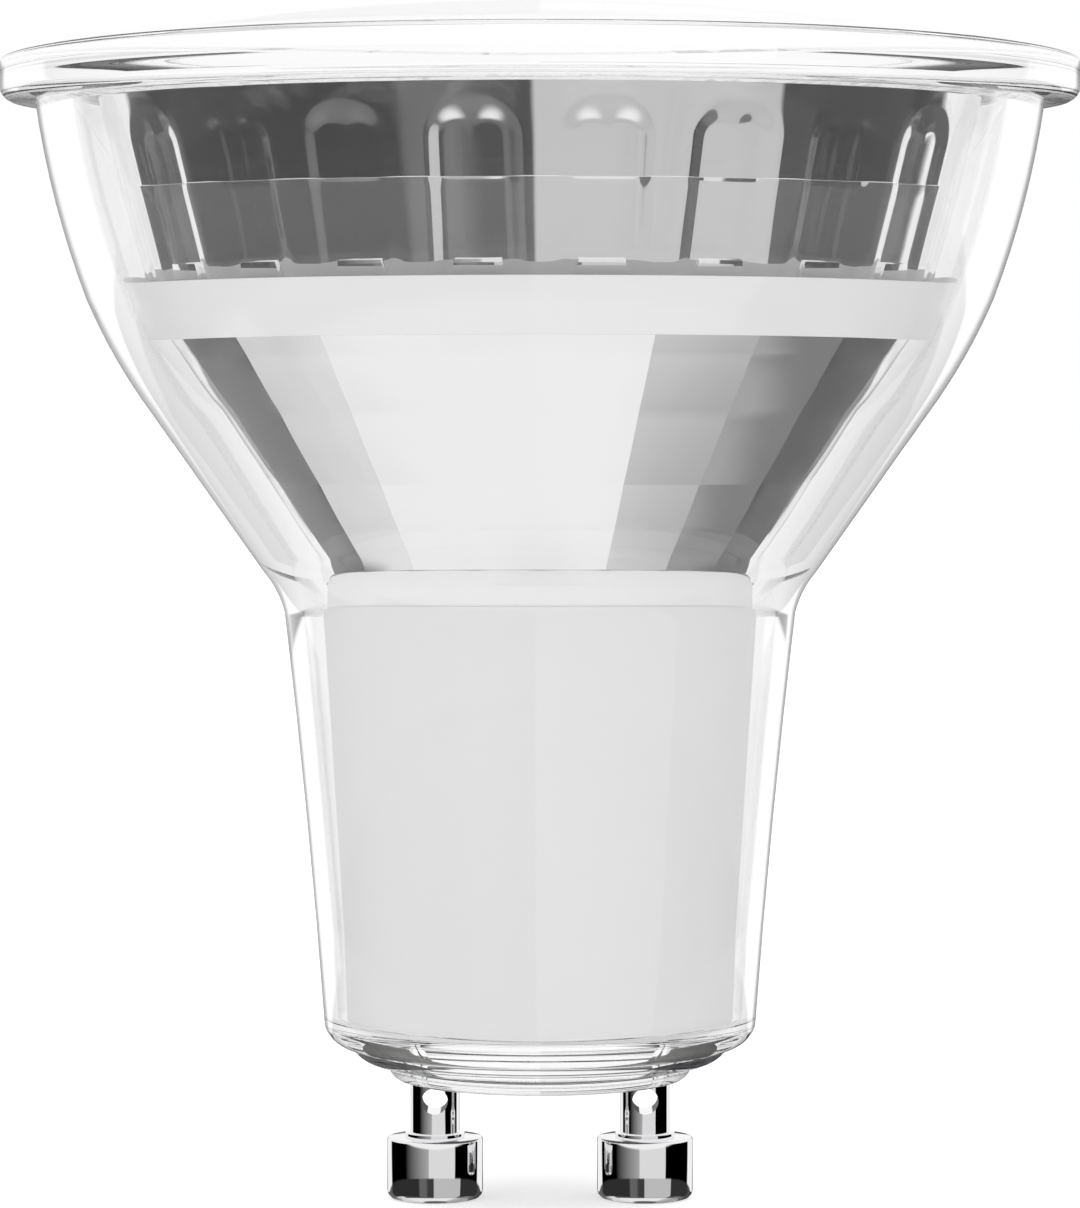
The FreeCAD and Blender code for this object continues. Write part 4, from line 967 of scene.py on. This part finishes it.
class LAMP_OT_studio(bpy.types.Operator):
    """Pale floor, soft light, the light panels round the lamp, and the camera"""
    bl_idname = "lamp.studio"
    bl_label = "Studio"

    def execute(self, context):
        look = context.scene.lamp_studio
        context.scene.view_settings.view_transform = "Standard"
        self.make_camera(context, look)
        self.make_floor(look)
        self.make_world(context, look)
        self.make_light()
        return {"FINISHED"}

    def make_camera(self, context, look):
        """Camera at the photograph's place, tilted down to its framing."""
        data = bpy.data.cameras.new("camera")
        data.sensor_width = 36.0
        data.sensor_fit = "AUTO"
        data.lens = data.sensor_width * look.focal_rows / PHOTO_HEIGHT
        data.clip_start = 0.01
        tilt = math.atan((PHOTO_HEIGHT / 2 - look.horizon_row) / look.focal_rows)
        camera = bpy.data.objects.new("camera", data)
        camera.location = (0.0, -look.distance * MM, look.eye_height * MM)
        camera.rotation_euler = (math.radians(90) - tilt, 0.0, 0.0)
        context.collection.objects.link(camera)
        context.scene.camera = camera

    def make_floor(self, look):
        """Wide pale floor under the pins."""
        bpy.ops.object.select_all(action="DESELECT")
        bpy.ops.mesh.primitive_circle_add(vertices=96, radius=FLOOR_RADIUS, fill_type="NGON",
                                          location=(0, 0, CAD_BOX[0][2]))
        floor = bpy.context.active_object
        floor.name = "floor"
        bpy.ops.object.transform_apply(location=True, rotation=True, scale=True)
        floor.visible_glossy = False
        floor.visible_transmission = False
        material, tree = start_material("floor_white")
        pale = tree.add("ShaderNodeBsdfDiffuse", None, {"Color": colour([FLOOR_TONE] * 3)})
        glow = tree.add("ShaderNodeEmission", None, {"Color": colour(look.white), "Strength": FLOOR_GLOW})
        lit = tree.add("ShaderNodeAddShader", None, {0: pale, 1: glow})
        tree.end("ShaderNodeOutputMaterial",
                 tree.add("ShaderNodeMixShader", None, {0: ray(tree, IS_CAMERA), 1: pale, 2: lit}))
        floor.data.materials.append(material)

    def make_world(self, context, look):
        """White for the camera, for matt surfaces and through clear glass; panels for what is mirrored."""
        world = bpy.data.worlds.new("studio")
        context.scene.world = world
        tree = Tree(world)
        east, north, up = tree.split(tree.add("ShaderNodeTexCoord"))
        around = east.join("ARCTAN2", north * -1.0) / math.tau + 0.5
        rise = up.join("ARCSINE", 0.0) * (180 / math.pi)
        crossed, mirrored = ray(tree, TIMES_CROSSED), ray(tree, TIMES_MIRRORED)
        turned = crossed.join("COMPARE", 2.0) * mirrored.join("LESS_THAN", MOST_MIRRORINGS)
        outside = 1.0 - crossed.join("MODULO", 2.0)
        pale, nadir = colour(look.white), colour([NADIR_LEVEL] * 3)
        level, glass, dipped, low_down, foot = (
            tree.ramp(around, [(degrees / 360 + 0.5, tone) for degrees, tone in ring])
            for ring in (LEVEL_RING, GLASS_RING, DIPPED_RING, LOW_RING, FOOT_RING))
        level = mix_tones(tree, self.reach(tree, rise, *LEVEL_TO_WHITE), level, pale)
        glass = mix_tones(tree, self.reach(tree, rise, *WHITE_TO_GLASS), pale, glass)
        tone = mix_tones(tree, turned, level, glass)
        clear = 1.0 - turned * GLASS_CLEAR
        for ring, heights in ((dipped, TO_DIPPED), (low_down, TO_LOW), (foot, TO_FOOT), (nadir, TO_NADIR)):
            tone = mix_tones(tree, self.reach(tree, rise, *heights) * clear, tone, ring)
        tone = mix_tones(tree, self.reach(tree, rise, *ALL_TO_WHITE), tone, pale)
        panels = tree.add("ShaderNodeBackground", None, {"Color": tone, "Strength": 1.0})
        white = tree.add("ShaderNodeBackground", None, {"Color": pale, "Strength": 1.0})
        shiny = ray(tree, IS_GLOSSY).join("MAXIMUM", ray(tree, IS_TRANSMISSION))
        seen = tree.add("ShaderNodeMixShader", None, {
            0: mirrored.join("GREATER_THAN", 0.5) * outside, 1: white, 2: panels})
        mixed = tree.add("ShaderNodeMixShader", None, {0: shiny, 1: white, 2: seen})
        tree.end("ShaderNodeOutputWorld",
                 tree.add("ShaderNodeMixShader", None, {0: ray(tree, IS_CAMERA), 1: mixed, 2: white}))

    def reach(self, tree, value, start, stop):
        """Smooth share from 0 at start to 1 at stop."""
        return tree.add("ShaderNodeMapRange", {"interpolation_type": "SMOOTHSTEP"},
                        {0: value, 1: start, 2: stop})

    def make_light(self):
        """One large soft lamp above and to the left, which bright pieces don't mirror."""
        data = bpy.data.lights.new("soft_lamp", "AREA")
        data.size = LAMP_WIDTH
        data.energy = LAMP_POWER
        lamp = bpy.data.objects.new("soft_lamp", data)
        lamp.location = LAMP_PLACE
        lamp.rotation_euler = [math.radians(degrees) for degrees in LAMP_TURN]
        lamp.visible_glossy = False
        lamp.visible_transmission = False
        bpy.context.collection.objects.link(lamp)


PROPERTY_GROUPS = {
    "lamp_glass": GlassSizes,
    "lamp_lens": LensSizes,
    "lamp_flutes": FluteSizes,
    "lamp_facets": FacetSizes,
    "lamp_sleeve": SleeveSizes,
    "lamp_pins": PinSizes,
    "lamp_studio": StudioLook,
    "lamp_finish": FinishColours,
}
OPERATORS = (LAMP_OT_glass, LAMP_OT_lens, LAMP_OT_flutes, LAMP_OT_facets, LAMP_OT_white_parts,
             LAMP_OT_pins, LAMP_OT_inner_parts, LAMP_OT_studio)


class LAMP_PT_panel(bpy.types.Panel):
    """Lists the lamp's pieces"""
    bl_idname = "LAMP_PT_panel"
    bl_label = "Reflector lamp"
    bl_space_type = "VIEW_3D"
    bl_region_type = "UI"
    bl_category = "Lamp"

    def draw(self, context):
        for operator in OPERATORS:
            self.layout.operator(operator.bl_idname)


def register():
    for group in PROPERTY_GROUPS.values():
        bpy.utils.register_class(group)
    for name, group in PROPERTY_GROUPS.items():
        setattr(bpy.types.Scene, name, PointerProperty(type=group))
    for operator in OPERATORS:
        bpy.utils.register_class(operator)
    bpy.utils.register_class(LAMP_PT_panel)


def unregister():
    bpy.utils.unregister_class(LAMP_PT_panel)
    for operator in reversed(OPERATORS):
        bpy.utils.unregister_class(operator)
    for name, group in PROPERTY_GROUPS.items():
        delattr(bpy.types.Scene, name)
        bpy.utils.unregister_class(group)


def main():
    register()
    bpy.ops.lamp.glass()
    bpy.ops.lamp.lens()
    bpy.ops.lamp.flutes()
    bpy.ops.lamp.facets()
    bpy.ops.lamp.white_parts()
    bpy.ops.lamp.pins()
    bpy.ops.lamp.inner_parts()
    bpy.ops.lamp.studio()


if __name__ == "__main__":
    main()
